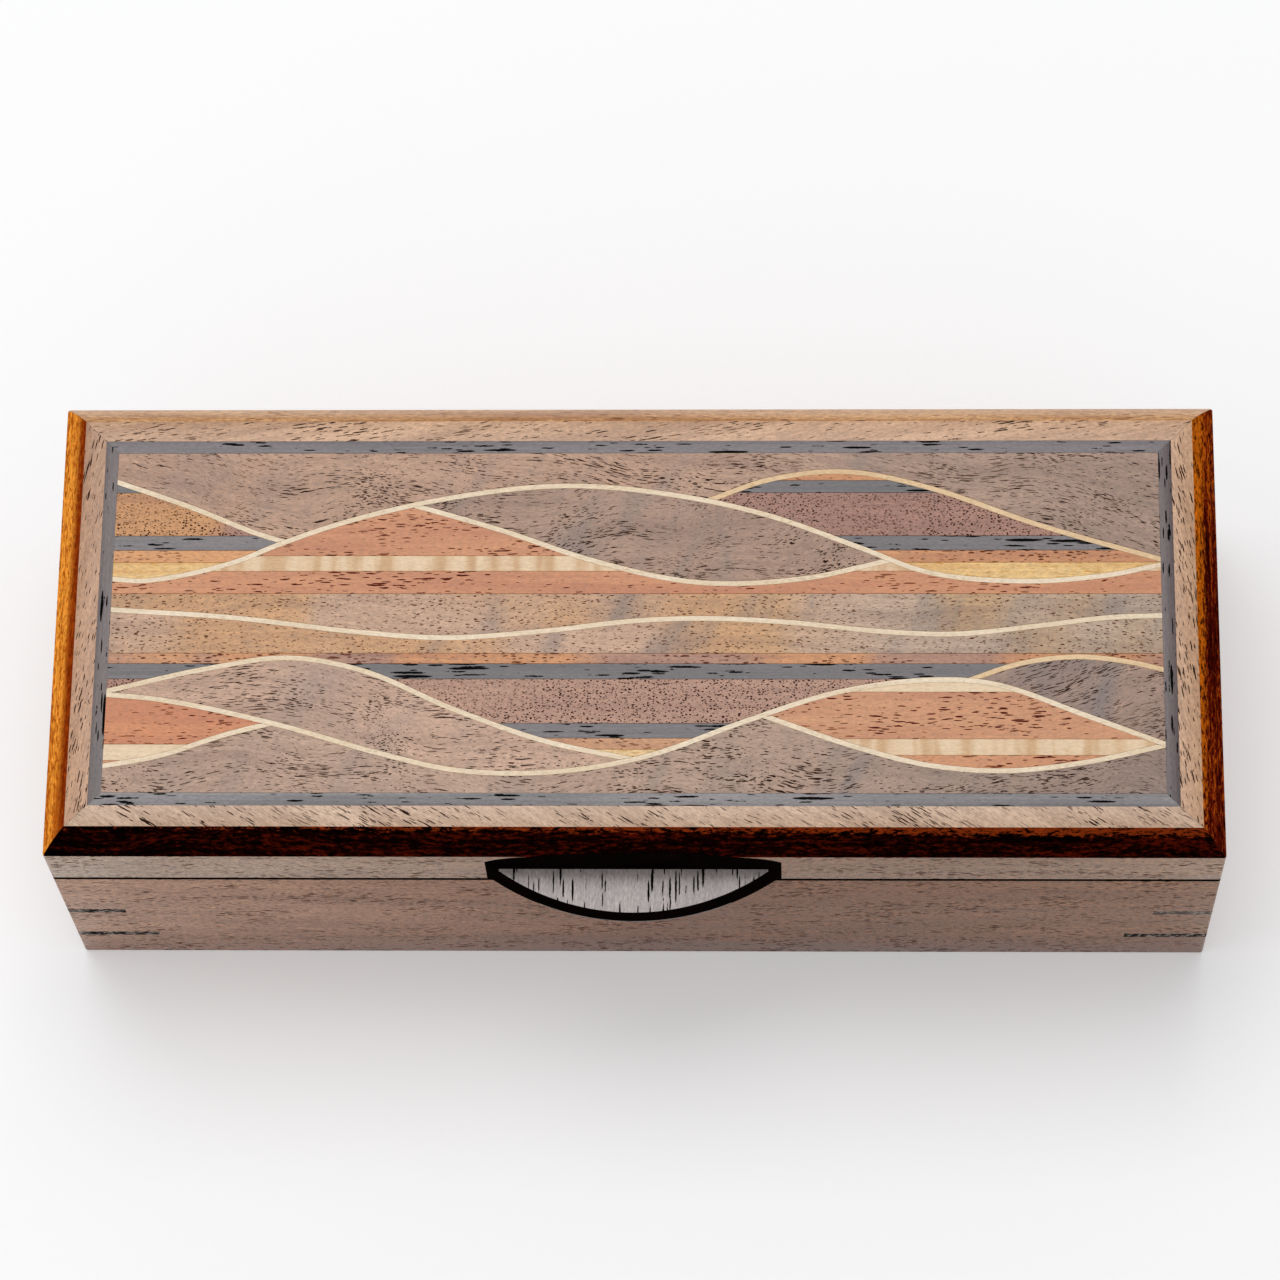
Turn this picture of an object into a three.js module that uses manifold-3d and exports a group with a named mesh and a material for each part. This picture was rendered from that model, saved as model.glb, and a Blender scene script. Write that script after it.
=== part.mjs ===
// Inlaid wooden box with a hinged lid.
//
// A long walnut box with mitred, keyed corners. Its lid was sawn from the same boards, so both share
// one wall thickness and the grain runs on across the seam. The lid's top is a panel of marquetry:
// blocks laminated from strips of coloured wood, sawn along long waves and glued up again with maple
// stringing in every wavy joint, inside a mitred wenge border. A wenge lift tab is let into the front
// of the lid, and two brass butt hinges join lid and box at the back.
//
// Units are millimetres. X runs along the box, the front with the tab faces -Y, and +Z is up. The
// origin lies on the surface the box stands on, under the middle of the whole object.

import * as THREE from 'three';
import { mergeVertices } from 'three/addons/utils/BufferGeometryUtils.js';
import Module from 'manifold-3d';

const wasm = await Module();
wasm.setup();

// ---------------------------------------------------------------- driving dimensions

const LENGTH = 260;
const DEPTH = 107;
const BODY_HEIGHT = 54;
const SEAM = 0.4;
const LID_SIDE = 15.4;
const BEVEL_RISE = 5.4;
const BEVEL_WIDTH = 5.2;
const WALL = 12;
const GLUE = 0.05;

const BOTTOM_THICKNESS = 4;
const BOTTOM_LIFT = 5;
const GROOVE_DEPTH = 5;
const LINING_THICKNESS = 2;
const LINING_CLEARANCE = 0.5;

const KEY_THICKNESS = 2.4;
const KEYS = [
  { name: 'upper', height: 30.5, leg: 13.4 },
  { name: 'lower', height: 13.5, leg: 19 },
];

const MARGIN = 10;
const BORDER_WIDTH = 3;
const INLAY_THICKNESS = 1.8;
const PANEL_THICKNESS = 3.2;
const STRINGING = 1.2;
const STATION_STEP = 6;
const BRANCH_TAPER = 0.3;

const TAB = { halfWidth: 32.7, endHeight: 11.75, archHeight: 16.3, inset: 6, thickness: 7, reach: 10.3 };
const TAB_TOP_TAPER = 0.94;
const ARCH_SHOULDER = { out: 0.885, up: 0.957 };
const ARCH_CROWN_OUT = 0.61;

const HINGE = { length: 28, leafDepth: 8, leafThickness: 1.2, spacing: 170, axisOut: 2.5 };
const KNUCKLE = { outer: 2.2, bore: 1, count: 5, gap: 0.2 };
const PIN_RADIUS = 0.85;
const SCREW = { head: 2, headDepth: 1, shank: 1, length: 7.5, offset: 8.5, inset: 4.2 };
const SCREW_CLEARANCE = 0.2;
const ROUND_SIDES = 20;
const SCREW_SIDES = 12;
const REACH_PAST = 1;

// ---------------------------------------------------------------- derived sizes

const LID_BOTTOM = BODY_HEIGHT + SEAM;
const LID_HEIGHT = LID_SIDE + BEVEL_RISE;
const TOP = LID_BOTTOM + LID_HEIGHT;
const KNUCKLE_REACH = HINGE.axisOut + KNUCKLE.outer;
const BODY_CENTRE_Y = (TAB.reach - KNUCKLE_REACH) / 2;
const BORDER_INNER = MARGIN + BORDER_WIDTH;
const FIELD_X = LENGTH / 2 - BORDER_INNER - GLUE;
const FIELD_Y = DEPTH / 2 - BORDER_INNER - GLUE;

// ---------------------------------------------------------------- materials

const finish = (color, roughness, metalness = 0) =>
  new THREE.MeshStandardMaterial({ color, roughness, metalness, flatShading: true });

const WALNUT = finish('#8d7666', 0.5);
const WALNUT_FIGURED = finish('#a08878', 0.45);
const WENGE = finish('#5d5b60', 0.5);
const EBONY_TONE = finish('#17120f', 0.4);
const MAPLE = finish('#ecdcc0', 0.45);
const MAHOGANY = finish('#c98867', 0.45);
const STRIPED = finish('#a27a68', 0.45);
const PLY = finish('#b08d68', 0.7);
const FELT = finish('#3a2620', 0.95);
const BRASS = finish('#b08d4a', 0.35, 1);

// ---------------------------------------------------------------- solid helpers

const assembly = new THREE.Group();

function named(name, geometry, material) {
  const mesh = new THREE.Mesh(geometry, material);
  mesh.name = name;
  return mesh;
}

// A closed geometry becomes a solid that can be joined and cut.
function solid(geometry) {
  const bare = geometry.clone();
  bare.deleteAttribute('normal');
  bare.deleteAttribute('uv');
  const welded = mergeVertices(bare);
  return new wasm.Manifold(new wasm.Mesh({
    numProp: 3,
    vertProperties: new Float32Array(welded.attributes.position.array),
    triVerts: new Uint32Array(welded.index.array),
  }));
}

function geometryOf(body) {
  const mesh = body.getMesh();
  const geometry = new THREE.BufferGeometry();
  geometry.setAttribute('position', new THREE.BufferAttribute(mesh.vertProperties, 3));
  geometry.setIndex(new THREE.BufferAttribute(mesh.triVerts, 1));
  geometry.computeVertexNormals();
  return geometry;
}

const cutAll = (body, tools) => tools.reduce((rest, tool) => rest.subtract(tool), body);

const joinAll = (bodies) => bodies.reduce((sum, body) => sum.add(body));

function block([x0, y0, z0], [x1, y1, z1]) {
  const geometry = new THREE.BoxGeometry(x1 - x0, y1 - y0, z1 - z0);
  return geometry.translate((x0 + x1) / 2, (y0 + y1) / 2, (z0 + z1) / 2);
}

// A plan outline raised from one height to another.
function raised(shape, z0, z1, curveSegments = 8) {
  const options = { depth: z1 - z0, bevelEnabled: false, curveSegments };
  return new THREE.ExtrudeGeometry(shape, options).translate(0, 0, z0);
}

const outlineShape = (points) => new THREE.Shape(points.map(([x, y]) => new THREE.Vector2(x, y)));

// Rails and boards are drawn once, lying along X with the outer face on y = 0, the inside towards +Y.
// A section is drawn as (distance in from the outer face, height).
function straightRail(section, length) {
  const options = { depth: length, bevelEnabled: false, curveSegments: 6 };
  const geometry = new THREE.ExtrudeGeometry(section, options);
  const position = geometry.attributes.position;
  for (let i = 0; i < position.count; i += 1) {
    const inset = position.getX(i);
    const height = position.getY(i);
    const along = position.getZ(i) - length / 2;
    position.setXYZ(i, along, inset, height);
  }
  return geometry;
}

// The ends are drawn in by as much as each point lies in from the outer face: a 45 degree mitre.
function mitredRail(section, length) {
  const geometry = straightRail(section, length);
  const position = geometry.attributes.position;
  for (let i = 0; i < position.count; i += 1) {
    const end = Math.sign(position.getX(i));
    position.setX(i, end * (length / 2 - position.getY(i) - GLUE / 2));
  }
  return geometry;
}

// The four sides of the box, each a quarter turn on from the last.
const SIDES = [
  { name: 'front', length: LENGTH, out: DEPTH / 2, turn: 0 },
  { name: 'right', length: DEPTH, out: LENGTH / 2, turn: Math.PI / 2 },
  { name: 'back', length: LENGTH, out: DEPTH / 2, turn: Math.PI },
  { name: 'left', length: DEPTH, out: LENGTH / 2, turn: -Math.PI / 2 },
];

function placeOnSide(side, mesh, parent) {
  const turned = new THREE.Group();
  turned.rotation.z = side.turn;
  mesh.position.y = -side.out;
  turned.add(mesh);
  parent.add(turned);
}

// ---------------------------------------------------------------- hinges

const hingeCentres = [-HINGE.spacing / 2, HINGE.spacing / 2];
const screwOffsets = [-SCREW.offset, SCREW.offset];

// A mortise for one leaf, from the outer face in, open to the seam side at height `seam`.
function leafMortise(x, seam, direction) {
  const far = seam - direction * (HINGE.leafThickness + GLUE);
  const near = seam + direction * REACH_PAST;
  const half = HINGE.length / 2 + GLUE;
  const low = [x - half, -REACH_PAST, Math.min(far, near)];
  const high = [x + half, HINGE.leafDepth + GLUE, Math.max(far, near)];
  return solid(block(low, high));
}

function screwHole(x, seam, direction) {
  const radius = SCREW.shank + SCREW_CLEARANCE;
  const depth = SCREW.length + SCREW_CLEARANCE;
  const hole = new THREE.CylinderGeometry(radius, radius, depth, SCREW_SIDES);
  hole.rotateX(Math.PI / 2);
  hole.translate(x, SCREW.inset, seam - direction * depth / 2);
  return solid(hole);
}

// Everything a hinge needs cut from a rail. `direction` is +1 where the seam is the rail's top.
function hingeCuts(seam, direction) {
  return hingeCentres.flatMap((x) => [
    leafMortise(x, seam, direction),
    ...screwOffsets.map((offset) => screwHole(x + offset, seam, direction)),
  ]);
}

// Leaves are drawn about the pin: the axis is X, the box lies towards -Y and the seam is z = 0.
const knucklePitch = HINGE.length / KNUCKLE.count;

function alongX(radius, length, sides, x) {
  return new THREE.CylinderGeometry(radius, radius, length, sides).rotateZ(Math.PI / 2).translate(x, 0, 0);
}

function knuckle(index, up) {
  const x = (index + 0.5) * knucklePitch - HINGE.length / 2;
  const half = (knucklePitch - KNUCKLE.gap) / 2;
  const near = up * SEAM / 2;
  const far = up * (SEAM / 2 + HINGE.leafThickness);
  const low = [x - half, -HINGE.axisOut - REACH_PAST, Math.min(near, far)];
  const high = [x + half, 0, Math.max(near, far)];
  return solid(block(low, high)).add(solid(alongX(KNUCKLE.outer, 2 * half, ROUND_SIDES, x)));
}

function countersink(offset, up) {
  const wide = SCREW.head + SCREW_CLEARANCE;
  const narrow = SCREW.shank + SCREW_CLEARANCE;
  const face = SEAM / 2;
  const profile = [
    [0, face],
    [wide, face],
    [narrow, face + SCREW.headDepth],
    [narrow, face + HINGE.leafThickness + REACH_PAST],
    [0, face + HINGE.leafThickness + REACH_PAST],
  ];
  const hole = new THREE.LatheGeometry(profile.map(([r, h]) => new THREE.Vector2(r, h)), SCREW_SIDES);
  hole.rotateX(up * Math.PI / 2);
  return solid(hole.translate(offset, -HINGE.axisOut - SCREW.inset, 0));
}

function leaf(up) {
  const near = up * SEAM / 2;
  const far = up * (SEAM / 2 + HINGE.leafThickness);
  const low = [-HINGE.length / 2, -HINGE.axisOut - HINGE.leafDepth, Math.min(near, far)];
  const high = [HINGE.length / 2, -HINGE.axisOut, Math.max(near, far)];
  const firstKnuckle = up > 0 ? 1 : 0;
  const knuckles = [];
  for (let index = firstKnuckle; index < KNUCKLE.count; index += 2) {
    knuckles.push(knuckle(index, up));
  }
  const bore = solid(alongX(KNUCKLE.bore, HINGE.length + 2 * REACH_PAST, ROUND_SIDES, 0));
  const sinks = screwOffsets.map((offset) => countersink(offset, up));
  return geometryOf(cutAll(joinAll([solid(block(low, high)), ...knuckles]), [bore, ...sinks]));
}

// A countersunk screw, head up at z = 0, turned over for the lid's leaf.
function screw() {
  const profile = [
    [0, -SCREW.length],
    [SCREW.shank, -SCREW.length + SCREW.shank],
    [SCREW.shank, -SCREW.headDepth],
    [SCREW.head, 0],
    [0, 0],
  ];
  const points = profile.map(([r, h]) => new THREE.Vector2(r, h));
  return new THREE.LatheGeometry(points, SCREW_SIDES).rotateX(Math.PI / 2);
}

function addHinges(parent) {
  const leafNames = [['body', -1], ['lid', 1]];
  hingeCentres.forEach((x, i) => {
    const side = ['left', 'right'][i];
    const hinge = new THREE.Group();
    hinge.position.set(x, DEPTH / 2 + HINGE.axisOut, BODY_HEIGHT + SEAM / 2);
    for (const [owner, up] of leafNames) {
      hinge.add(named(`hinge_${side}_${owner}_leaf`, leaf(up), BRASS));
      screwOffsets.forEach((offset, j) => {
        const fastener = named(`hinge_${side}_${owner}_screw_${j + 1}`, screw(), BRASS);
        fastener.position.set(offset, -HINGE.axisOut - SCREW.inset, up * SEAM / 2);
        fastener.rotation.x = up > 0 ? Math.PI : 0;
        hinge.add(fastener);
      });
    }
    hinge.add(named(`hinge_${side}_pin`, alongX(PIN_RADIUS, HINGE.length, ROUND_SIDES, 0), BRASS));
    parent.add(hinge);
  });
}

// ---------------------------------------------------------------- the box

function bodySection() {
  const grooveLow = BOTTOM_LIFT - GLUE;
  const grooveHigh = BOTTOM_LIFT + BOTTOM_THICKNESS + GLUE;
  return outlineShape([
    [0, 0],
    [WALL, 0],
    [WALL, grooveLow],
    [WALL - GROOVE_DEPTH, grooveLow],
    [WALL - GROOVE_DEPTH, grooveHigh],
    [WALL, grooveHigh],
    [WALL, BODY_HEIGHT],
    [0, BODY_HEIGHT],
  ]);
}

// The kerfs for the corner keys, sawn across both ends of a board of this length.
function keyKerfs(length) {
  return KEYS.flatMap(({ height, leg }) => [-1, 1].map((end) => {
    const reach = leg + REACH_PAST + GLUE;
    const corner = length / 2;
    const triangle = outlineShape([
      [end * (corner - reach), -REACH_PAST],
      [end * (corner + REACH_PAST), -REACH_PAST],
      [end * (corner + REACH_PAST), reach],
    ]);
    const half = KEY_THICKNESS / 2 + GLUE;
    return solid(raised(triangle, height - half, height + half));
  }));
}

function addBody(parent) {
  for (const side of SIDES) {
    const cuts = keyKerfs(side.length);
    if (side.name === 'back') {
      cuts.push(...hingeCuts(BODY_HEIGHT, 1));
    }
    const board = cutAll(solid(mitredRail(bodySection(), side.length)), cuts);
    placeOnSide(side, named(`body_${side.name}_board`, geometryOf(board), WALNUT), parent);
  }

  const edge = WALL - GROOVE_DEPTH + 2 * GLUE;
  const bottomX = LENGTH / 2 - edge;
  const bottomY = DEPTH / 2 - edge;
  const bottomTop = BOTTOM_LIFT + BOTTOM_THICKNESS;
  const bottom = block([-bottomX, -bottomY, BOTTOM_LIFT], [bottomX, bottomY, bottomTop]);
  parent.add(named('bottom_panel', bottom, PLY));

  const insideX = LENGTH / 2 - WALL - LINING_CLEARANCE;
  const insideY = DEPTH / 2 - WALL - LINING_CLEARANCE;
  const liningLow = bottomTop + 2 * GLUE;
  const lining = block([-insideX, -insideY, liningLow], [insideX, insideY, liningLow + LINING_THICKNESS]);
  parent.add(named('lining_pad', lining, FELT));
}

// Each key is a thin triangle of wenge, flush with both faces of its corner.
function addCornerKeys(parent) {
  const corners = [
    { name: 'front_right', x: 1, y: -1, turn: 0 },
    { name: 'back_right', x: 1, y: 1, turn: Math.PI / 2 },
    { name: 'back_left', x: -1, y: 1, turn: Math.PI },
    { name: 'front_left', x: -1, y: -1, turn: -Math.PI / 2 },
  ];
  for (const corner of corners) {
    for (const { name, height, leg } of KEYS) {
      const triangle = outlineShape([[-leg, 0], [0, 0], [0, leg]]);
      const geometry = raised(triangle, -KEY_THICKNESS / 2, KEY_THICKNESS / 2);
      const key = named(`corner_key_${corner.name}_${name}`, geometry, WENGE);
      key.position.set(corner.x * LENGTH / 2, corner.y * DEPTH / 2, height);
      key.rotation.z = corner.turn;
      parent.add(key);
    }
  }
}

// ---------------------------------------------------------------- the lid's frame

// The bevel is convex: steep where it leaves the side, nearly flat where it meets the top.
const BEVEL_FOOT_ANGLE = THREE.MathUtils.degToRad(56);
const BEVEL_TOP_ANGLE = THREE.MathUtils.degToRad(16);

function bevelControl() {
  const footSlope = Math.tan(BEVEL_FOOT_ANGLE);
  const topSlope = Math.tan(BEVEL_TOP_ANGLE);
  const inset = (BEVEL_RISE - topSlope * BEVEL_WIDTH) / (footSlope - topSlope);
  return new THREE.Vector2(inset, LID_SIDE + footSlope * inset);
}

function lidSection() {
  const ledge = LID_HEIGHT - INLAY_THICKNESS - PANEL_THICKNESS - 2 * GLUE;
  const control = bevelControl();
  const section = new THREE.Shape();
  section.moveTo(0, 0);
  section.lineTo(WALL, 0);
  section.lineTo(WALL, ledge);
  section.lineTo(MARGIN, ledge);
  section.lineTo(MARGIN, LID_HEIGHT);
  section.lineTo(BEVEL_WIDTH, LID_HEIGHT);
  section.quadraticCurveTo(control.x, control.y, 0, LID_SIDE);
  section.closePath();
  return section;
}

// The tab's block as seen from the front: upright ends under a flat arch.
function tabArch(grow) {
  const half = TAB.halfWidth + grow;
  const end = TAB.endHeight + grow;
  const crown = TAB.archHeight + grow;
  const shoulder = new THREE.Vector2(ARCH_SHOULDER.out * half, ARCH_SHOULDER.up * crown);
  const crownPull = ARCH_CROWN_OUT * half;
  const arch = new THREE.Shape();
  arch.moveTo(-half, -grow);
  arch.lineTo(half, -grow);
  arch.lineTo(half, end);
  arch.bezierCurveTo(shoulder.x, shoulder.y, crownPull, crown, 0, crown);
  arch.bezierCurveTo(-crownPull, crown, -shoulder.x, shoulder.y, -half, end);
  arch.closePath();
  return arch;
}

// The arch runs into the rail from in front of its face to `depth` behind it.
function tabPrism(grow, depth) {
  const front = -REACH_PAST;
  const prism = new THREE.ExtrudeGeometry(tabArch(grow), {
    depth: depth - front,
    bevelEnabled: false,
    curveSegments: 8,
  });
  return solid(prism.rotateX(Math.PI / 2).translate(0, depth, 0));
}

// The half-moon lip that a finger lifts, a little shorter on top than below.
function tabLip() {
  const { halfWidth, reach, thickness } = TAB;
  const radius = (halfWidth ** 2 + reach ** 2) / (2 * reach);
  const spread = Math.asin(halfWidth / radius);
  const lip = new THREE.Shape();
  lip.moveTo(-halfWidth, REACH_PAST);
  lip.lineTo(-halfWidth, 0);
  lip.absarc(0, radius - reach, radius, -Math.PI / 2 - spread, -Math.PI / 2 + spread, false);
  lip.lineTo(halfWidth, REACH_PAST);
  lip.closePath();
  const geometry = raised(lip, 0, thickness, 20);
  const position = geometry.attributes.position;
  for (let i = 0; i < position.count; i += 1) {
    if (position.getZ(i) > thickness / 2) {
      position.setX(i, position.getX(i) * TAB_TOP_TAPER);
    }
  }
  return solid(geometry);
}

function addLidFrame(parent) {
  const section = lidSection();
  for (const side of SIDES) {
    const cuts = [];
    if (side.name === 'front') {
      cuts.push(tabPrism(GLUE, TAB.inset + GLUE));
    }
    if (side.name === 'back') {
      cuts.push(...hingeCuts(0, -1));
    }
    const rail = cutAll(solid(mitredRail(section, side.length)), cuts);
    const mesh = named(`lid_${side.name}_rail`, geometryOf(rail), WALNUT);
    mesh.position.z = LID_BOTTOM;
    placeOnSide(side, mesh, parent);
  }

  const inFace = solid(straightRail(section, 4 * TAB.halfWidth)).intersect(tabPrism(0, TAB.inset));
  const tab = named('lift_tab', geometryOf(inFace.add(tabLip())), EBONY_TONE);
  tab.position.z = LID_BOTTOM;
  placeOnSide(SIDES[0], tab, parent);

  const panelX = LENGTH / 2 - MARGIN - GLUE;
  const panelY = DEPTH / 2 - MARGIN - GLUE;
  const panelTop = TOP - INLAY_THICKNESS - GLUE;
  const panel = block([-panelX, -panelY, panelTop - PANEL_THICKNESS], [panelX, panelY, panelTop]);
  parent.add(named('lid_core_panel', panel, PLY));
}

// Four mitred wenge strips frame the marquetry.
function addBorder(parent) {
  const strip = outlineShape([
    [GLUE, 0],
    [BORDER_WIDTH, 0],
    [BORDER_WIDTH, INLAY_THICKNESS],
    [GLUE, INLAY_THICKNESS],
  ]);
  for (const side of SIDES) {
    const mesh = named(`border_${side.name}`, mitredRail(strip, side.length - 2 * MARGIN), WENGE);
    mesh.position.z = TOP - INLAY_THICKNESS;
    placeOnSide({ ...side, out: side.out - MARGIN }, mesh, parent);
  }
}

// ---------------------------------------------------------------- the marquetry

// Every wavy joint is a smooth curve y(x) in the plane of the lid, measured from its centre. It is
// given by its ends, crests, troughs and the bends between them.
function wave(points) {
  const xs = points.map(([x]) => x);
  const ys = points.map(([, y]) => y);
  const curve = new THREE.CubicInterpolant(xs, ys, 1);
  const at = (x) => curve.evaluate(x)[0];
  return { at, from: xs[0], to: xs[xs.length - 1] };
}

// A wave that springs from another starts or ends on that wave's own line.
const meeting = (host, x) => [x, host.at(x)];

const EDGE = LENGTH / 2 - BORDER_INNER;

const longCrest = wave([
  [-EDGE, 10], [-110, 9.6], [-90, 14], [-80, 18.3], [-65, 23.8], [-40, 29.9], [-15, 32.5], [10, 30],
  [30, 25.2], [50, 17.6], [65, 11.7], [87, 9.5], [105, 10.9], [EDGE, 13.4],
]);
const leftFall = wave([[-EDGE, 33.5], [-100, 27.3], [-85, 21], meeting(longCrest, -78.5)]);
const centreHollow = wave([
  meeting(longCrest, -50), [-30, 21.7], [-10, 14.6], [10, 9.7], [22, 8.9], [40, 10.5], [50, 12.8],
  meeting(longCrest, 57),
]);
const rightCrest = wave([
  meeting(longCrest, 16), [30, 34], [47, 35.9], [65, 32.2], [90, 23], [EDGE, 14.7],
]);
const middleRipple = wave([
  [-EDGE, 2.7], [-90, 0.8], [-60, -2.8], [-42, -4], [-20, -2.4], [0, 0], [16, 0.6], [35, -0.4],
  [55, -2.5], [71, -3.1], [90, -1.1], [105, 0.8], [EDGE, 1.3],
]);
const longTrough = wave([
  [-EDGE, -17.5], [-105, -18.7], [-80, -24.2], [-55, -31.5], [-40, -35], [-25, -35.9], [-10, -34.7],
  [5, -31.3], [25, -23.6], [45, -16.9], [67, -13.9], [80, -15], [100, -22.4], [EDGE, -29],
]);
const leftCrest = wave([
  [-EDGE, -16.7], [-95, -11.4], [-77, -8.8], [-60, -11.9], [-40, -20.8], [-20, -28.2],
  meeting(longTrough, 0),
]);
const leftRise = wave([[-EDGE, -34.3], [-105, -32], [-90, -26.9], meeting(longTrough, -80)]);
const rightHollow = wave([
  meeting(longTrough, 28.5), [50, -30], [65, -33.9], [82, -35.2], [100, -33.1], [EDGE, -29.2],
]);
const farCrest = wave([meeting(longTrough, 74), [85, -10.2], [98, -8.5], [110, -9.8], [EDGE, -11.5]]);

const UPPER_WAVES = [longCrest, leftFall, centreHollow, rightCrest];
const LOWER_WAVES = [longTrough, leftCrest, leftRise, rightHollow, farCrest];

// The straight glue lines, front to back, that the blocks were laminated along.
const UPPER_SEAM = 6.5;
const LOWER_SEAM = -7.7;
const STRIP_SEAM = -10.2;

// Where the wenge under the edge strip starts again behind the left crest, and ends at the right.
const CENTRE_START = -75;
const CENTRE_END = 99;

// All joints are sampled at the same stations, so that neighbours share every bend.
const allWaves = [...UPPER_WAVES, middleRipple, ...LOWER_WAVES];
const insideField = (x) => Math.abs(x) < FIELD_X;
const stepCount = Math.round(2 * EDGE / STATION_STEP);
const evenStations = Array.from({ length: stepCount + 1 }, (_, i) => -EDGE + i * STATION_STEP);
const waveEnds = allWaves.flatMap(({ from, to }) => [from, to]);
const STATIONS = [...new Set([-FIELD_X, FIELD_X, ...[...evenStations, ...waveEnds].filter(insideField)])]
  .sort((a, b) => a - b);

// A limit is a height at every station of the stretch where it bounds a piece, and null elsewhere.
function limit(heightAt, from = -EDGE, to = EDGE) {
  return STATIONS.map((x) => (x >= from && x <= to ? heightAt(x) : null));
}

const NUDGE = 0.01;
const SAME_HEIGHT = 1e-9;
const SAME_POINT = 1e-3;
const IN_LINE = 1e-4;

// One edge of a wave's stringing, moved out by `gap`. `side` is +1 for the back edge. A branch is
// drawn in where it ends on its host, so that it ends inside the host's stringing.
function stringEdge(curve, side, gap = 0) {
  return limit((x) => {
    const slope = (curve.at(x + NUDGE) - curve.at(x - NUDGE)) / (2 * NUDGE);
    const joined = (x === curve.from || x === curve.to) && Math.abs(x) < EDGE;
    const half = joined ? STRINGING * BRANCH_TAPER : STRINGING / 2 + gap;
    return curve.at(x) + side * half * Math.hypot(1, slope);
  }, curve.from, curve.to);
}

const behind = (curve) => stringEdge(curve, 1, GLUE);
const before = (curve) => stringEdge(curve, -1, GLUE);
const straight = (y, from, to) => limit(() => y, from, to);

// The piece between the lowest of its back limits and the highest of its front limits.
function pieceOutline(backs, fronts, from, to) {
  const back = [];
  const front = [];
  const all = [...backs, ...fronts];
  const known = (list, i) => list.filter((heights) => heights[i] !== null && heights[i + 1] !== null);
  for (let i = 0; i + 1 < STATIONS.length; i += 1) {
    const x0 = STATIONS[i];
    const x1 = STATIONS[i + 1];
    const backsHere = known(backs, i);
    const frontsHere = known(fronts, i);
    if (x0 < from || x1 > to || !backsHere.length || !frontsHere.length) {
      continue;
    }
    const mix = (heights, t) => heights[i] + (heights[i + 1] - heights[i]) * t;
    const bends = [0, 1];
    for (const [n, a] of known(all, i).entries()) {
      for (const b of known(all, i).slice(n + 1)) {
        const start = a[i] - b[i];
        const end = a[i + 1] - b[i + 1];
        if (start * end < 0) {
          bends.push(start / (start - end));
        }
      }
    }
    for (const t of bends.sort((a, b) => a - b)) {
      const x = x0 + (x1 - x0) * t;
      const high = Math.min(...backsHere.map((heights) => mix(heights, t)));
      const low = Math.max(...frontsHere.map((heights) => mix(heights, t)));
      if (high - low > -SAME_HEIGHT) {
        back.push([x, high]);
        front.push([x, low]);
      }
    }
  }
  return tidyLoop([...front, ...back.reverse()]);
}

// Repeated points and points in line with their neighbours go.
function tidyLoop(loop) {
  const apart = loop.filter(([x, y], i) => {
    const [px, py] = loop[(i + loop.length - 1) % loop.length];
    return Math.hypot(x - px, y - py) > SAME_POINT;
  });
  return apart.filter(([x, y], i) => {
    const [px, py] = apart[(i + apart.length - 1) % apart.length];
    const [nx, ny] = apart[(i + 1) % apart.length];
    const turn = (x - px) * (ny - py) - (y - py) * (nx - px);
    return Math.abs(turn) > IN_LINE;
  });
}

function inlaySolid(backs, fronts, from = -EDGE, to = EDGE) {
  return raised(outlineShape(pieceOutline(backs, fronts, from, to)), 0, INLAY_THICKNESS);
}

function stringSolid(curve) {
  return solid(inlaySolid([stringEdge(curve, 1)], [stringEdge(curve, -1)]));
}

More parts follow.
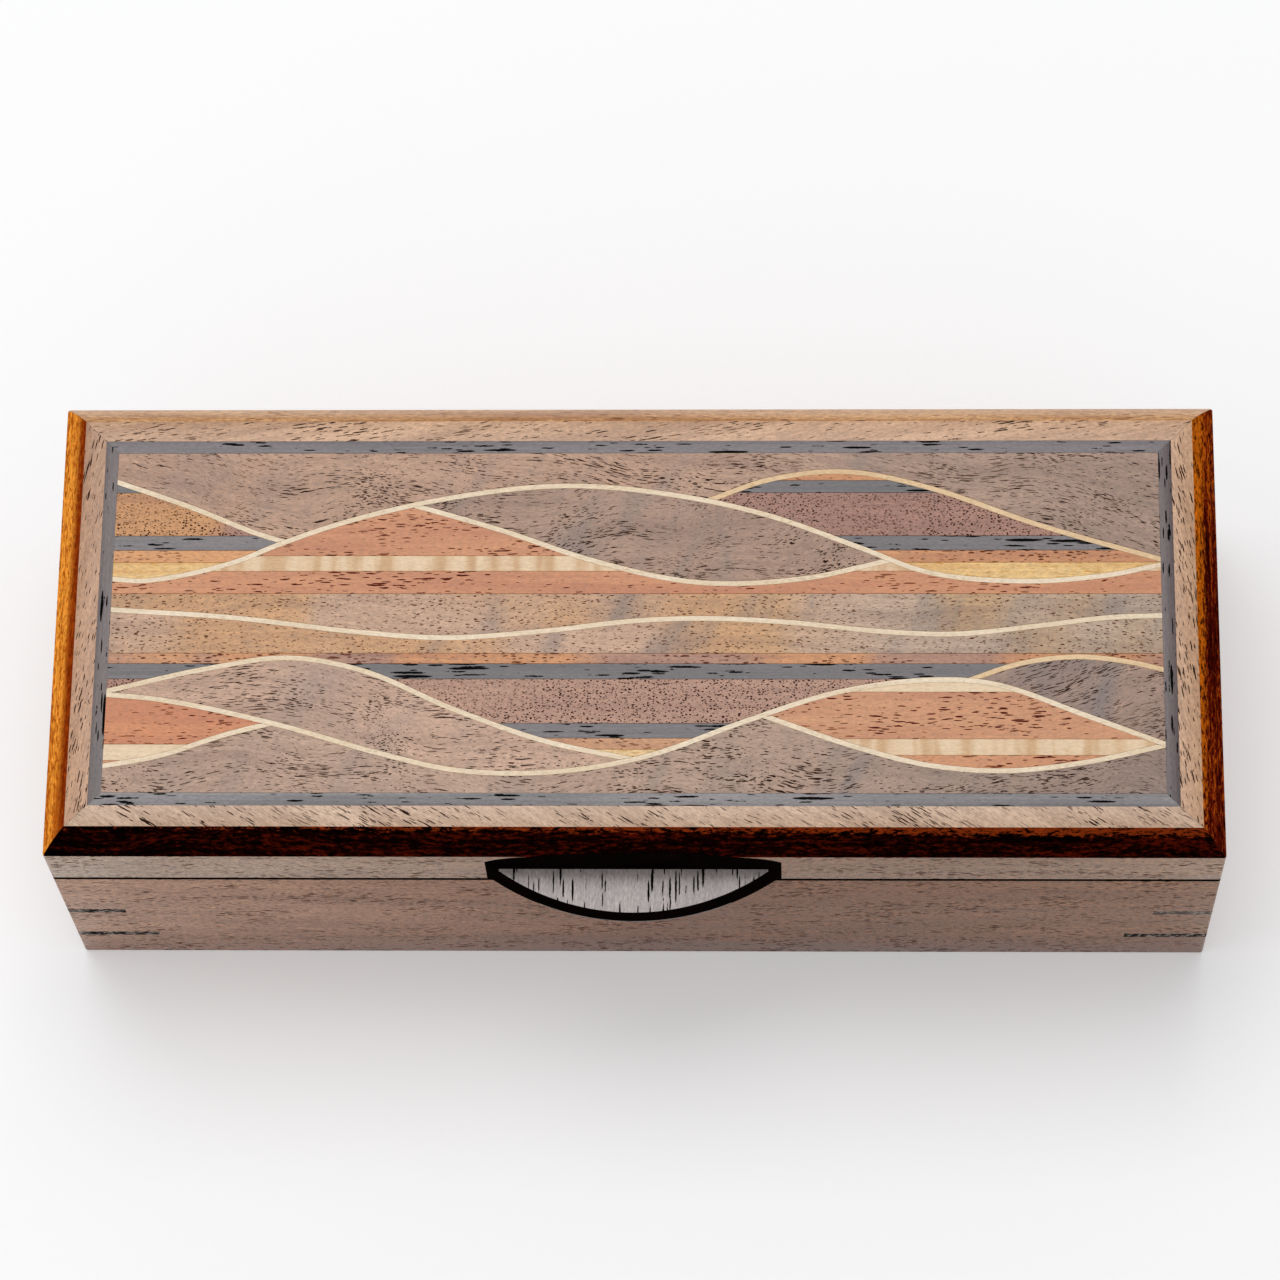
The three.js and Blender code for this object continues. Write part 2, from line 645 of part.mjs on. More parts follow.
function addMarquetry(parent) {
  const half = GLUE / 2;
  const back = straight(FIELD_Y);
  const front = straight(-FIELD_Y);
  const stripFront = straight(STRIP_SEAM + half, -EDGE, CENTRE_END);
  const belowStrip = straight(STRIP_SEAM - half);
  const pieces = [
    ['upper_walnut_field', WALNUT_FIGURED, [back],
      [behind(leftFall), behind(longCrest), behind(rightCrest)]],
    ['upper_left_lamination', STRIPED, [before(leftFall)], [behind(longCrest)]],
    ['upper_mahogany_lamination', MAHOGANY,
      [before(longCrest), before(centreHollow)], [straight(UPPER_SEAM + half)]],
    ['upper_walnut_lens', WALNUT_FIGURED, [before(longCrest)], [behind(centreHollow)]],
    ['upper_right_lamination', STRIPED, [before(rightCrest)], [behind(longCrest)]],
    ['middle_walnut_back', WALNUT_FIGURED, [straight(UPPER_SEAM - half)], [behind(middleRipple)]],
    ['middle_walnut_front', WALNUT_FIGURED, [before(middleRipple)], [straight(LOWER_SEAM + half)]],
    ['lower_edge_strip', STRIPED, [straight(LOWER_SEAM - half)],
      [stripFront, behind(leftCrest), behind(farCrest)]],
    ['lower_left_lamination', STRIPED, [belowStrip], [behind(leftCrest)], -EDGE, CENTRE_START],
    ['lower_centre_lamination', STRIPED, [belowStrip],
      [behind(leftCrest), behind(longTrough), behind(farCrest)], CENTRE_START, CENTRE_END],
    ['lower_walnut_lens', WALNUT_FIGURED, [before(leftCrest)], [behind(longTrough)]],
    ['lower_left_mahogany_lamination', MAHOGANY, [before(longTrough)], [behind(leftRise)]],
    ['lower_right_mahogany_lamination', MAHOGANY, [before(longTrough)], [behind(rightHollow)]],
    ['lower_right_walnut', WALNUT_FIGURED, [before(farCrest)], [behind(longTrough)]],
    ['lower_walnut_field', WALNUT_FIGURED,
      [before(longTrough), before(leftRise), before(rightHollow)], [front]],
  ];
  const inlay = new THREE.Group();
  inlay.position.z = TOP - INLAY_THICKNESS;
  for (const [name, material, ...limits] of pieces) {
    inlay.add(named(name, inlaySolid(...limits), material));
  }
  const stringings = [
    ['upper_stringing', UPPER_WAVES],
    ['middle_stringing', [middleRipple]],
    ['lower_stringing', LOWER_WAVES],
  ];
  for (const [name, curves] of stringings) {
    inlay.add(named(name, geometryOf(joinAll(curves.map(stringSolid))), MAPLE));
  }
  parent.add(inlay);
}

// ---------------------------------------------------------------- assembly

const box = new THREE.Group();
box.position.y = BODY_CENTRE_Y;
addBody(box);
addCornerKeys(box);
addLidFrame(box);
addBorder(box);
addMarquetry(box);
addHinges(box);
assembly.add(box);

export default assembly;
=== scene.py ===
"""The looks of the inlaid wooden box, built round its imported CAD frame.

Lengths are metres in the frame, and the waves and seams of the marquetry are millimetres from the
centre of the lid, as in the part's own source. Every piece rides on the CAD body that it belongs to.
"""

import math

import bmesh
import bpy
from mathutils import Matrix, Vector

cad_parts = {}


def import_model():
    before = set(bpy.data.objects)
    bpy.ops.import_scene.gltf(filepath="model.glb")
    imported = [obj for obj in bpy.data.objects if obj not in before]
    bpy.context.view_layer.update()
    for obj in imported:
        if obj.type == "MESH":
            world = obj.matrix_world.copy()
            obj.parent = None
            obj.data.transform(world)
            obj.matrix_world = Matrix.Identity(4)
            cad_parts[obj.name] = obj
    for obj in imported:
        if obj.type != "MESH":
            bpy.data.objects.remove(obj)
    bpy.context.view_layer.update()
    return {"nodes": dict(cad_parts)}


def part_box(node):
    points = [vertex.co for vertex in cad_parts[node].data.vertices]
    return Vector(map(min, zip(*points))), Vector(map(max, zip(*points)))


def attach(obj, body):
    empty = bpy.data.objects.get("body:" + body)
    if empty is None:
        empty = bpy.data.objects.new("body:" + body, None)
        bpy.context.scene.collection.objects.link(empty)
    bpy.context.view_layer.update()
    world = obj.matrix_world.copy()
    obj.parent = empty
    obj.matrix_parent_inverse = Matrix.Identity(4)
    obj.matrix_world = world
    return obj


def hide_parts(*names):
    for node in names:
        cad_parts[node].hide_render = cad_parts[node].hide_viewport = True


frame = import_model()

MM = 0.001

# ---------------- the frame's own sizes

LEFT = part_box("body_left_board")[0].x
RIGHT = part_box("body_right_board")[1].x
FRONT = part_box("body_front_board")[0].y
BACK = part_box("body_back_board")[1].y
CENTRE = Vector(((LEFT + RIGHT) / 2, (FRONT + BACK) / 2, 0))
LENGTH = RIGHT - LEFT
DEPTH = BACK - FRONT
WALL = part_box("body_front_board")[1].y - FRONT
BODY_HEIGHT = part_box("body_front_board")[1].z
LID_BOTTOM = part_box("lid_front_rail")[0].z
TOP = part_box("lid_front_rail")[1].z
LID_HEIGHT = TOP - LID_BOTTOM
BORDER_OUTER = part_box("border_front")[0].y - FRONT
BORDER_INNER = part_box("border_front")[1].y - FRONT
INLAY_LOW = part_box("border_front")[0].z
BEVEL_RISE = 5.4 * MM
BEVEL_WIDTH = 5.2 * MM
LID_SIDE = LID_HEIGHT - BEVEL_RISE

# The gaps between pieces, the rounding of their edges, and how far the seam's painted shadow reaches in.
GLUE = 0.02 * MM
MITRE_GAP = 0.03 * MM
SLIP = 0.05 * MM
CORNER_RADIUS = 0.6 * MM
CORNER_STEPS = 4
EASED = 0.3 * MM
SEAM_EASED = 0.5 * MM
SEAM_SHADOW = 0.6 * MM

# ---------------- camera, light and floor

CAMERA_OFFSET = Vector((0.03763, -0.39468, 1.10019))
CAMERA_PITCH = 69.08
CAMERA_YAW = -5.32
CAMERA_ROLL = -4.96
CAMERA_LENS = 139.07
FLOOR_SIZE = 8.0
FLOOR_GLOW = 0.26


def add_camera():
    data = bpy.data.cameras.new("camera")
    data.lens = CAMERA_LENS
    data.sensor_width = 36
    data.clip_start = 0.05
    camera = bpy.data.objects.new("camera", data)
    bpy.context.scene.collection.objects.link(camera)
    pitch, yaw, roll = (math.radians(a) for a in (CAMERA_PITCH, CAMERA_YAW, CAMERA_ROLL))
    forward = Vector((math.sin(yaw) * math.cos(pitch), math.cos(yaw) * math.cos(pitch), -math.sin(pitch)))
    level = Vector((math.cos(yaw), -math.sin(yaw), 0))
    above = level.cross(forward)
    right = math.cos(roll) * level + math.sin(roll) * above
    up = math.cos(roll) * above - math.sin(roll) * level
    axes = Matrix((right, up, -forward)).transposed().to_4x4()
    camera.matrix_world = Matrix.Translation(CENTRE + CAMERA_OFFSET) @ axes
    bpy.context.scene.camera = camera


def softbox(name, direction, distance, size, radiance):
    """An area light that faces the box from a direction, with a set radiance over its face."""
    data = bpy.data.lights.new(name, "AREA")
    data.shape = "RECTANGLE"
    data.size, data.size_y = size
    data.energy = radiance * math.pi * size[0] * size[1]
    light = bpy.data.objects.new(name, data)
    towards = Vector(direction).normalized()
    light.location = CENTRE + towards * distance
    light.rotation_euler = towards.to_track_quat("Z", "Y").to_euler()
    bpy.context.scene.collection.objects.link(light)


def add_lights():
    softbox("overhead_softbox", (-0.10, 0.36, 0.92), 3.2, (2.1, 1.9), 3.1)
    softbox("left_fill", (-1.0, -0.1, 0.7), 2.2, (1.2, 1.2), 1.3)
    world = bpy.data.worlds.new("studio")
    world.use_nodes = True
    background = world.node_tree.nodes["Background"]
    background.inputs["Color"].default_value = (0.97, 0.98, 1.0, 1)
    background.inputs["Strength"].default_value = 0.5
    bpy.context.scene.world = world
    bpy.context.scene.view_settings.view_transform = "Standard"


# ---------------- node helpers


class Paint:
    """The node tree of one material, with short calls for the nodes it uses."""

    def __init__(self, name):
        self.material = bpy.data.materials.new(name)
        self.material.use_nodes = True
        self.tree = self.material.node_tree
        self.shader = self.tree.nodes["Principled BSDF"]

    def node(self, kind, inputs=(), **settings):
        made = self.tree.nodes.new(kind)
        for key, value in settings.items():
            setattr(made, key, value)
        for key, value in dict(inputs).items():
            self.feed(made.inputs[key], value)
        return made

    def feed(self, socket, value):
        if isinstance(value, bpy.types.NodeSocket):
            self.tree.links.new(value, socket)
        elif isinstance(value, tuple) and len(value) == 3 and socket.type == "RGBA":
            socket.default_value = (*value, 1)
        else:
            socket.default_value = value

    def math(self, operation, a, b, clamp=False):
        return self.node("ShaderNodeMath", {0: a, 1: b}, operation=operation, use_clamp=clamp).outputs[0]

    def plus(self, a, b):
        return self.math("ADD", a, b)

    def minus(self, a, b):
        return self.math("SUBTRACT", a, b)

    def times(self, a, b):
        return self.math("MULTIPLY", a, b)

    def mix(self, factor, a, b, blend="MIX"):
        made = self.node("ShaderNodeMix", data_type="RGBA", blend_type=blend)
        self.feed(made.inputs["Factor"], factor)
        self.feed(made.inputs[6], a)
        self.feed(made.inputs[7], b)
        return made.outputs[2]

    def tinted(self, colour, tint):
        return self.mix(1.0, colour, tint, "MULTIPLY")

    def ramp(self, factor, low, high):
        """0 where factor is under low, 1 where it is over high, and smooth between."""
        made = self.node("ShaderNodeMapRange", {0: factor, 1: low, 2: high}, interpolation_type="SMOOTHSTEP")
        return made.outputs[0]

    def vector(self, operation, a, b):
        return self.node("ShaderNodeVectorMath", {0: a, 1: b}, operation=operation).outputs[0]

    def stretch(self, vector, scale):
        return self.vector("MULTIPLY", vector, scale)

    def noise(self, vector, scale=1.0, detail=2.0, roughness=0.5, distortion=0.0, output="Fac"):
        inputs = {"Vector": vector, "Scale": scale, "Detail": detail, "Roughness": roughness,
                  "Distortion": distortion}
        return self.node("ShaderNodeTexNoise", inputs).outputs[output]

    def streaks(self, space, density, detail=2.0, roughness=0.5, distortion=0.0):
        """Noise with a set density of features, per millimetre, along each axis of a space."""
        return self.noise(self.stretch(space, density), 1.0, detail, roughness, distortion)

    def cells(self, vector):
        inputs = {"Vector": vector, "Scale": 1.0, "Randomness": 1.0}
        return self.node("ShaderNodeTexVoronoi", inputs, feature="F1").outputs

    def position(self):
        """X, Y and height in the frame, in metres."""
        place = self.node("ShaderNodeTexCoord").outputs["Object"]
        return self.node("ShaderNodeSeparateXYZ", {0: place}).outputs

    def along_x(self, stops):
        """A tint that runs through (x in millimetres, tint) stops from the box's left to its right."""
        low, high = stops[0][0], stops[-1][0]
        span = {0: self.position()[0], 1: low * MM, 2: high * MM}
        share = self.node("ShaderNodeMapRange", span).outputs[0]
        band = self.node("ShaderNodeValToRGB", {0: share})
        ramp = band.color_ramp
        while len(ramp.elements) < len(stops):
            ramp.elements.new(0.5)
        for element, (at, tint) in zip(ramp.elements, stops):
            element.position = (at - low) / (high - low)
            element.color = (*tint, 1)
        return band.outputs[0]

    def grain_space(self, turn=0.0, offset=(0, 0, 0)):
        """The piece's own coordinates in millimetres, with X along the grain, which is turned by so many
        degrees clockwise from the box's length."""
        place = self.node("ShaderNodeTexCoord").outputs["Object"]
        inputs = {"Vector": place, "Location": offset, "Rotation": (0, 0, math.radians(turn)),
                  "Scale": (1 / MM, 1 / MM, 1 / MM)}
        return self.node("ShaderNodeMapping", inputs).outputs[0]

    def warped(self, space, amount, scale):
        """Coordinates that wander across the grain, so that streaks and pores bend with the figure."""
        wander = self.noise(space, scale, 1.5, 0.4, output="Color")
        sway = self.stretch(self.vector("SUBTRACT", wander, (0.5, 0.5, 0.5)), (0.0, amount, amount))
        return self.vector("ADD", space, sway)

    def finished(self, colour, roughness, height, depth, strength, **fixed):
        """Feeds the shader and gives the material. `depth` of the bump is in millimetres, and `fixed`
        holds plain values for other sockets, with _ for each space in their names."""
        bump = {"Height": height, "Distance": depth * MM, "Strength": strength}
        sockets = self.shader.inputs
        self.feed(sockets["Base Color"], colour)
        self.feed(sockets["Roughness"], roughness)
        self.feed(sockets["Normal"], self.node("ShaderNodeBump", bump).outputs[0])
        for name, value in fixed.items():
            sockets[name.replace("_", " ")].default_value = value
        return self.material


# ---------------- wood

# What a kind of wood is described by. Colours are the shares of light that it gives back.
#   colour, shade, shine: its colour, and what multiplies it in the darkest and the lightest figure
#   bands: growth bands per millimetre across the grain
#   wander: how far the grain sways, in millimetres, and how often, per millimetre
#   mottle, smoke: the strength of the finest flecks, and of the dark clouds
#   curl: the second tone of curly figure
#   pores: layers of (spacing along the grain, spacing across it, radius in spacings, strength)
#   pore_tone, sparse, evenly, bold: the pores' colour; how many thin ones are left out; how crowded they
#     are, where it doesn't vary; and whether all are equally strong
#   foot_shade: a painted shade at the box's foot, and how far up it reaches, in millimetres
#   lit_streaks_and_specks: on a bevel, painted light and shade set per side: a bright streak tone and where
#       it starts,
#     then a dark speck tone and its strength
#   rim: on a bevel, the tone by the flat top, a painted highlight (painted shade on the left bevel), how
#     far down it reaches, and how much further it reaches on the right than the left, and at the back than
#     the front, in millimetres
COMMON = dict(bands=0.9, smoke=0.0, curl=None, sparse=0.0, evenly=None, bold=False, foot_shade=None,
              lit_streaks_and_specks=None, rim=None, roughness=0.32, gloss=0.5)
WALNUT = dict(
    colour=(0.42, 0.245, 0.150), shade=(0.74, 0.68, 0.64), shine=(1.16, 1.18, 1.20),
    pores=((7.0, 0.38, 0.23, 1.0), (4.4, 0.34, 0.22, 1.0)), pore_tone=(0.024, 0.008, 0.005),
    wander=(6.0, 0.024), mottle=0.7, smoke=0.35)
MAPLE = dict(
    colour=(0.800, 0.600, 0.380), shade=(0.92, 0.88, 0.82), shine=(1.08, 1.10, 1.14),
    pores=((2.4, 0.28, 0.24, 0.2),), pore_tone=(0.5, 0.28, 0.12), wander=(2.0, 0.03), mottle=0.30)
BEVEL = dict(pores=((6.0, 0.6, 0.17, 0.9),), wander=(3.0, 0.03), roughness=0.5, gloss=0.0)
WOODS = {
    "walnut": WALNUT,
    "walnut_side": dict(WALNUT, colour=(0.36, 0.170, 0.087), pores=((3.6, 0.80, 0.25, 0.85),
                        (2.2, 0.60, 0.23, 0.85)), pore_tone=(0.060, 0.022, 0.012), mottle=1.4,
                        smoke=0.1, roughness=0.26, gloss=0.3, foot_shade=((0.64, 0.43, 0.26), 18.0)),
    "walnut_margin": dict(WALNUT, colour=(0.59, 0.35, 0.205), pores=((6.0, 0.50, 0.22, 1.0),
                          (4.2, 0.44, 0.20, 1.0)), wander=(3.0, 0.03), smoke=0.0),
    "walnut_figured": dict(WALNUT, colour=(0.445, 0.255, 0.158), pores=((6.4, 0.38, 0.24, 1.0),
                           (3.6, 0.34, 0.23, 1.0)), wander=(17.0, 0.026), smoke=0.75),
    "wenge": dict(
        colour=(0.130, 0.112, 0.114), shade=(0.62, 0.62, 0.65), shine=(1.34, 1.32, 1.32), bands=2.2,
        pores=((13.0, 0.95, 0.30, 1.0), (6.0, 0.70, 0.28, 1.0)), pore_tone=(0.0012, 0.0012, 0.0012),
        sparse=0.32, bold=True, wander=(0.8, 0.03), mottle=0.6),
    # Near black: wenge's own dark colour deepened by painted shade, and on the seams a painted shadow.
    "dark_wenge": dict(
        colour=(0.0028, 0.0014, 0.0013), shade=(0.5, 0.5, 0.5), shine=(1.8, 1.7, 1.6),
        pores=((9.0, 0.8, 0.24, 1.0), (5.0, 0.6, 0.2, 1.0)), pore_tone=(0.001, 0.001, 0.001),
        wander=(0.5, 0.03), mottle=0.6, roughness=0.5, gloss=0.0),
    # The tab's top: the same wenge, greyed by a painted reflection of the light above.
    "lit_tab_wenge": dict(
        colour=(0.430, 0.370, 0.355), shade=(0.74, 0.74, 0.74), shine=(1.2, 1.2, 1.2), bands=2.0,
        pores=((18.0, 0.90, 0.23, 1.0), (9.0, 0.78, 0.22, 1.0)), pore_tone=(0.0004, 0.0003, 0.0003),
        sparse=0.04, bold=True, wander=(0.4, 0.03), mottle=0.7),
    "mahogany": dict(
        colour=(0.590, 0.230, 0.083), shade=(0.86, 0.72, 0.64), shine=(1.10, 1.16, 1.20),
        pores=((5.2, 0.62, 0.205, 1.0), (3.4, 0.52, 0.19, 1.0)), pore_tone=(0.090, 0.008, 0.006),
        wander=(4.0, 0.035), mottle=0.5),
    "maple": MAPLE,
    "curly_maple": dict(MAPLE, colour=(0.610, 0.350, 0.155), shade=(0.94, 0.90, 0.84),
                        shine=(1.06, 1.10, 1.14), curl=(0.82, 0.60, 0.37)),
    "stringing": dict(
        colour=(0.820, 0.650, 0.450), shade=(0.92, 0.88, 0.80), shine=(1.08, 1.12, 1.18),
        pores=((1.6, 0.30, 0.24, 0.3),), pore_tone=(0.50, 0.30, 0.14),
        wander=(1.0, 0.03), mottle=0.40),
    "yellow": dict(
        colour=(0.760, 0.460, 0.125), shade=(0.86, 0.68, 0.46), shine=(1.14, 1.28, 1.80),
        pores=((3.0, 0.26, 0.34, 0.6),), pore_tone=(0.60, 0.28, 0.04),
        wander=(1.0, 0.05), mottle=0.6),
    "orange": dict(
        colour=(0.560, 0.225, 0.068), shade=(0.78, 0.62, 0.52), shine=(1.24, 1.34, 1.34),
        pores=((2.2, 0.60, 0.22, 0.9), (3.4, 0.60, 0.18, 0.9)), pore_tone=(0.100, 0.020, 0.010),
        wander=(1.5, 0.05), mottle=0.7),
    "brown": dict(
        colour=(0.320, 0.138, 0.088), shade=(0.82, 0.74, 0.70), shine=(1.18, 1.22, 1.22),
        pores=((0.9, 0.52, 0.28, 1.0), (0.7, 0.46, 0.26, 1.0)), pore_tone=(0.030, 0.006, 0.004),
        wander=(1.5, 0.05), mottle=0.7, evenly=0.55),
    "key": dict(
        colour=(0.185, 0.132, 0.103), shade=(0.70, 0.70, 0.70), shine=(1.25, 1.25, 1.25),
        pores=((1.7, 0.80, 0.46, 1.0), (1.2, 0.70, 0.40, 1.0)), pore_tone=(0.004, 0.004, 0.005),
        wander=(1.2, 0.2), mottle=0.8, roughness=0.3, evenly=0.75, gloss=0.2),
    # The bevels' tones are painted light and shade, lighter or darker on each side for how the light falls.
    "bevel_front": dict(
        BEVEL, colour=(0.0036, 0.0009, 0.0009), shade=(0.30, 0.30, 0.3), shine=(3.8, 1.8, 1.2),
        pore_tone=(0.001, 0.0004, 0.0003), wander=(8.0, 0.03), mottle=1.2,
        lit_streaks_and_specks=((0.070, 0.005, 0.001), 0.53, (0.0010, 0.0004, 0.0003), 0.9),
        rim=((0.20, 0.026, 0.004), 0.55, 1.2, 0.0)),
    "bevel_right": dict(
        BEVEL, colour=(0.070, 0.0040, 0.0022), shade=(0.15, 0.15, 0.15), shine=(3.4, 3.6, 1.6),
        pore_tone=(0.004, 0.0008, 0.0008), mottle=1.2,
        lit_streaks_and_specks=((0.44, 0.085, 0.004), 0.53, (0.008, 0.0010, 0.0006), 0.9),
        rim=((0.52, 0.118, 0.005), 1.5, 0.0, 1.7)),
    "bevel_left": dict(
        BEVEL, colour=(0.690, 0.190, 0.012), shade=(0.60, 0.34, 0.25), shine=(1.15, 1.45, 2.2),
        pore_tone=(0.22, 0.030, 0.003), mottle=0.9,
        lit_streaks_and_specks=((0.90, 0.33, 0.040), 0.52, (0.30, 0.045, 0.003), 0.8),
        rim=((0.20, 0.022, 0.0015), 1.9, 0.0, 0.0)),
    "bevel_back": dict(
        BEVEL, colour=(0.570, 0.285, 0.105), shade=(0.70, 0.58, 0.46), shine=(1.2, 1.3, 1.4),
        pores=((6.0, 0.6, 0.18, 0.9),), pore_tone=(0.14, 0.04, 0.016), mottle=0.7, roughness=0.36,
        gloss=0.5,
        lit_streaks_and_specks=((0.66, 0.36, 0.16), 0.52, (0.33, 0.12, 0.035), 0.7)),
}

SMOKE_TONE = (0.128, 0.108, 0.109)
SMOKE_LEAN = 24
RAGGED = 4.0 * MM
DULL = 0.06


def pore_marks(paint, space, layers, clumps, sparse):
    """How much of a pore each point is: ragged dashes along the grain, longer and thicker in clumps."""
    space = paint.warped(space, 0.22, 1.3)
    marks = 0.0
    for index, (length, width, size, strength) in enumerate(layers):
        moved = paint.vector("ADD", space, (11.3 * index, 7.7 * index, 3.1))
        cell = paint.cells(paint.stretch(moved, (1 / length, 1 / width, 1 / width)))
        pick = paint.node("ShaderNodeSeparateColor", {0: cell["Color"]}).outputs[0]
        reach = paint.plus(paint.times(pick, 0.8), paint.times(clumps, 0.9))
        reach = paint.math("MAXIMUM", paint.plus(reach, 0.1 - sparse), 0.001)
        within = paint.math("DIVIDE", cell["Distance"], paint.times(reach, size))
        mark = paint.minus(1.0, paint.ramp(within, 0.80, 1.02))
        marks = paint.math("MAXIMUM", marks, paint.times(mark, strength))
    return marks


def smoked(paint, colour, strength, turn, seed):
    """Dark clouds that lean across the grain, thin at the left of the box and full at its right."""
    leaning = paint.grain_space(turn + SMOKE_LEAN, (61.0 * seed, 17.0 * seed, 29.0 * seed))
    cloud = paint.streaks(paint.warped(leaning, 9.0, 0.035), (0.085, 0.022, 0.02), 2.5, 0.55, 0.3)
    drift = paint.plus(paint.times(paint.ramp(paint.position()[0], -90 * MM, 60 * MM), 0.65), 0.35)
    cloud = paint.times(paint.times(paint.ramp(cloud, 0.47, 0.78), strength), drift)
    return paint.mix(cloud, colour, SMOKE_TONE)


def bevel_tones(paint, colour, space, figure, lit_streaks_and_specks, rim):
    """A bevel's painted light and shade per side: bright streaks, dark specks, the tone by the flat top."""
    bright, start, dark, strength = lit_streaks_and_specks
    grain = paint.streaks(space, (0.5, 1.5, 1.5), 3.0, 0.72)
    streak = paint.plus(paint.times(figure, 0.7), paint.times(grain, 0.6))
    colour = paint.mix(paint.ramp(streak, 1.3 * start - 0.05, 1.3 * start + 0.09), colour, bright)
    # The painted highlight by the flat top, darker on the left bevel as painted shade.
    if rim:
        tone, reach, skew_x, skew_y = rim
        x, y, height = paint.position()
        height = paint.plus(height, paint.times(x, skew_x * MM / LENGTH))
        height = paint.plus(height, paint.times(y, skew_y * MM / DEPTH))
        height = paint.plus(height, paint.times(paint.minus(grain, 0.5), RAGGED))
        colour = paint.mix(paint.ramp(height, TOP - reach * MM, TOP), colour, tone)
    speck = paint.minus(1.0, paint.ramp(grain, 0.36, 0.52))
    return paint.mix(paint.times(speck, strength), colour, dark)


def wood(name, kind, turn=0.0, seed=0, along=None, glow=None, **changes):
    """One board's material, its grain turned clockwise from X. `along` is two or more (x, tint) that
    shift its colour from left to right, and `glow` a (colour, patch length) that comes and goes."""
    spec = {**COMMON, **WOODS[kind], **changes}
    paint = Paint(name)
    flat = paint.grain_space(turn, (37.0 * seed, 91.0 * seed, 53.0 * seed))
    bent = paint.warped(flat, *spec["wander"])

    colour = spec["colour"]
    if glow:
        second, length = glow
        patch = paint.streaks(flat, (1 / length, 0.4 / length, 0.4 / length), 1.5)
        colour = paint.mix(paint.ramp(patch, 0.44, 0.58), colour, second)
    if along:
        colour = paint.tinted(colour, paint.along_x(along))

    broad = paint.streaks(bent, (0.014, 0.15, 0.15), 3.0, 0.55)
    rings = paint.streaks(bent, (0.02, spec["bands"], spec["bands"]), 2.0, 0.6)
    figure = paint.plus(paint.times(broad, 0.6), paint.times(rings, 0.4))
    colour = paint.tinted(colour, paint.mix(paint.ramp(figure, 0.30, 0.70), spec["shade"], spec["shine"]))
    if spec["smoke"]:
        colour = smoked(paint, colour, spec["smoke"], turn, seed)
    if spec["curl"]:
        wave = paint.streaks(flat, (0.24, 0.03, 0.03), 1.6, 0.5, 0.4)
        colour = paint.mix(paint.times(paint.ramp(wave, 0.36, 0.62), 0.9), colour, spec["curl"])
    # Painted shade at the box's foot, darker and warmer towards the bottom.
    if spec["foot_shade"]:
        tint, reach = spec["foot_shade"]
        rise = paint.ramp(paint.position()[2], 0.0, reach * MM)
        colour = paint.mix(rise, paint.tinted(colour, tint), colour)
    # The bevels' painted light and shade, in each side's own tones.
    if spec["lit_streaks_and_specks"]:
        colour = bevel_tones(paint, colour, bent, figure, spec["lit_streaks_and_specks"], spec["rim"])

    fine = paint.streaks(bent, (0.8, 2.3, 2.3), 4.0, 0.7)
    light = paint.plus(1.0, paint.times(paint.minus(fine, 0.5), spec["mottle"] * 2.4))
    grey = paint.node("ShaderNodeCombineXYZ", {0: light, 1: light, 2: light}).outputs[0]
    colour = paint.tinted(colour, grey)

    crowd = spec["evenly"] or paint.ramp(paint.streaks(bent, (0.05, 0.20, 0.20)), 0.34, 0.66)
    pores = pore_marks(paint, bent, spec["pores"], crowd, spec["sparse"])
    if not spec["bold"]:
        faint = paint.streaks(flat, (0.03, 0.05, 0.05), 1.0)
        pores = paint.times(pores, paint.math("ADD", paint.ramp(faint, 0.36, 0.56), 0.62, True))
    colour = paint.mix(pores, colour, spec["pore_tone"])
    height = paint.minus(paint.times(fine, 0.25), pores)
    rough = paint.plus(paint.times(broad, 0.10), spec["roughness"] - 0.05)
    rough = paint.plus(rough, paint.times(pores, 0.4))
    if spec["gloss"] > DULL:
        open_pores = paint.minus(1.0, paint.times(pores, 0.9))
        paint.feed(paint.shader.inputs["Specular IOR Level"], paint.times(open_pores, spec["gloss"]))
    return paint.finished(colour, rough, height, 0.05, 0.35, Specular_IOR_Level=spec["gloss"])


# ---------------- other materials


def felt():
    paint = Paint("felt")
    place = paint.grain_space()
    nap = paint.noise(place, 1.7, 5.0, 0.75)
    brushed = paint.streaks(place, (0.05, 0.10, 0.1), 3.0, 0.6, 0.8)
    lint = paint.streaks(place, (0.9, 3.4, 1.0), 2.0, 0.5, 2.5)
    colour = paint.mix(paint.ramp(nap, 0.30, 0.70), (0.022, 0.011, 0.008), (0.115, 0.062, 0.044))
    colour = paint.mix(paint.ramp(brushed, 0.35, 0.65), colour, (0.062, 0.034, 0.026))
    colour = paint.mix(paint.times(paint.ramp(lint, 0.62, 0.74), 0.5), colour, (0.20, 0.13, 0.10))
    return paint.finished(colour, 0.95, nap, 0.5, 1.0, Specular_IOR_Level=0.15, Sheen_Weight=0.25,
                          Sheen_Roughness=0.5)


def brass():
    paint = Paint("brass")
    place = paint.grain_space()
    brushed = paint.streaks(place, (0.4, 9.0, 9.0), 3.0, 0.6)
    tarnish = paint.noise(place, 0.3, 4.0, 0.6)
    colour = paint.mix(paint.ramp(tarnish, 0.45, 0.75), (0.78, 0.57, 0.24), (0.46, 0.30, 0.13))
    rough = paint.plus(paint.times(brushed, 0.22), 0.16)
    return paint.finished(colour, rough, brushed, 0.02, 0.3, Metallic=1.0)


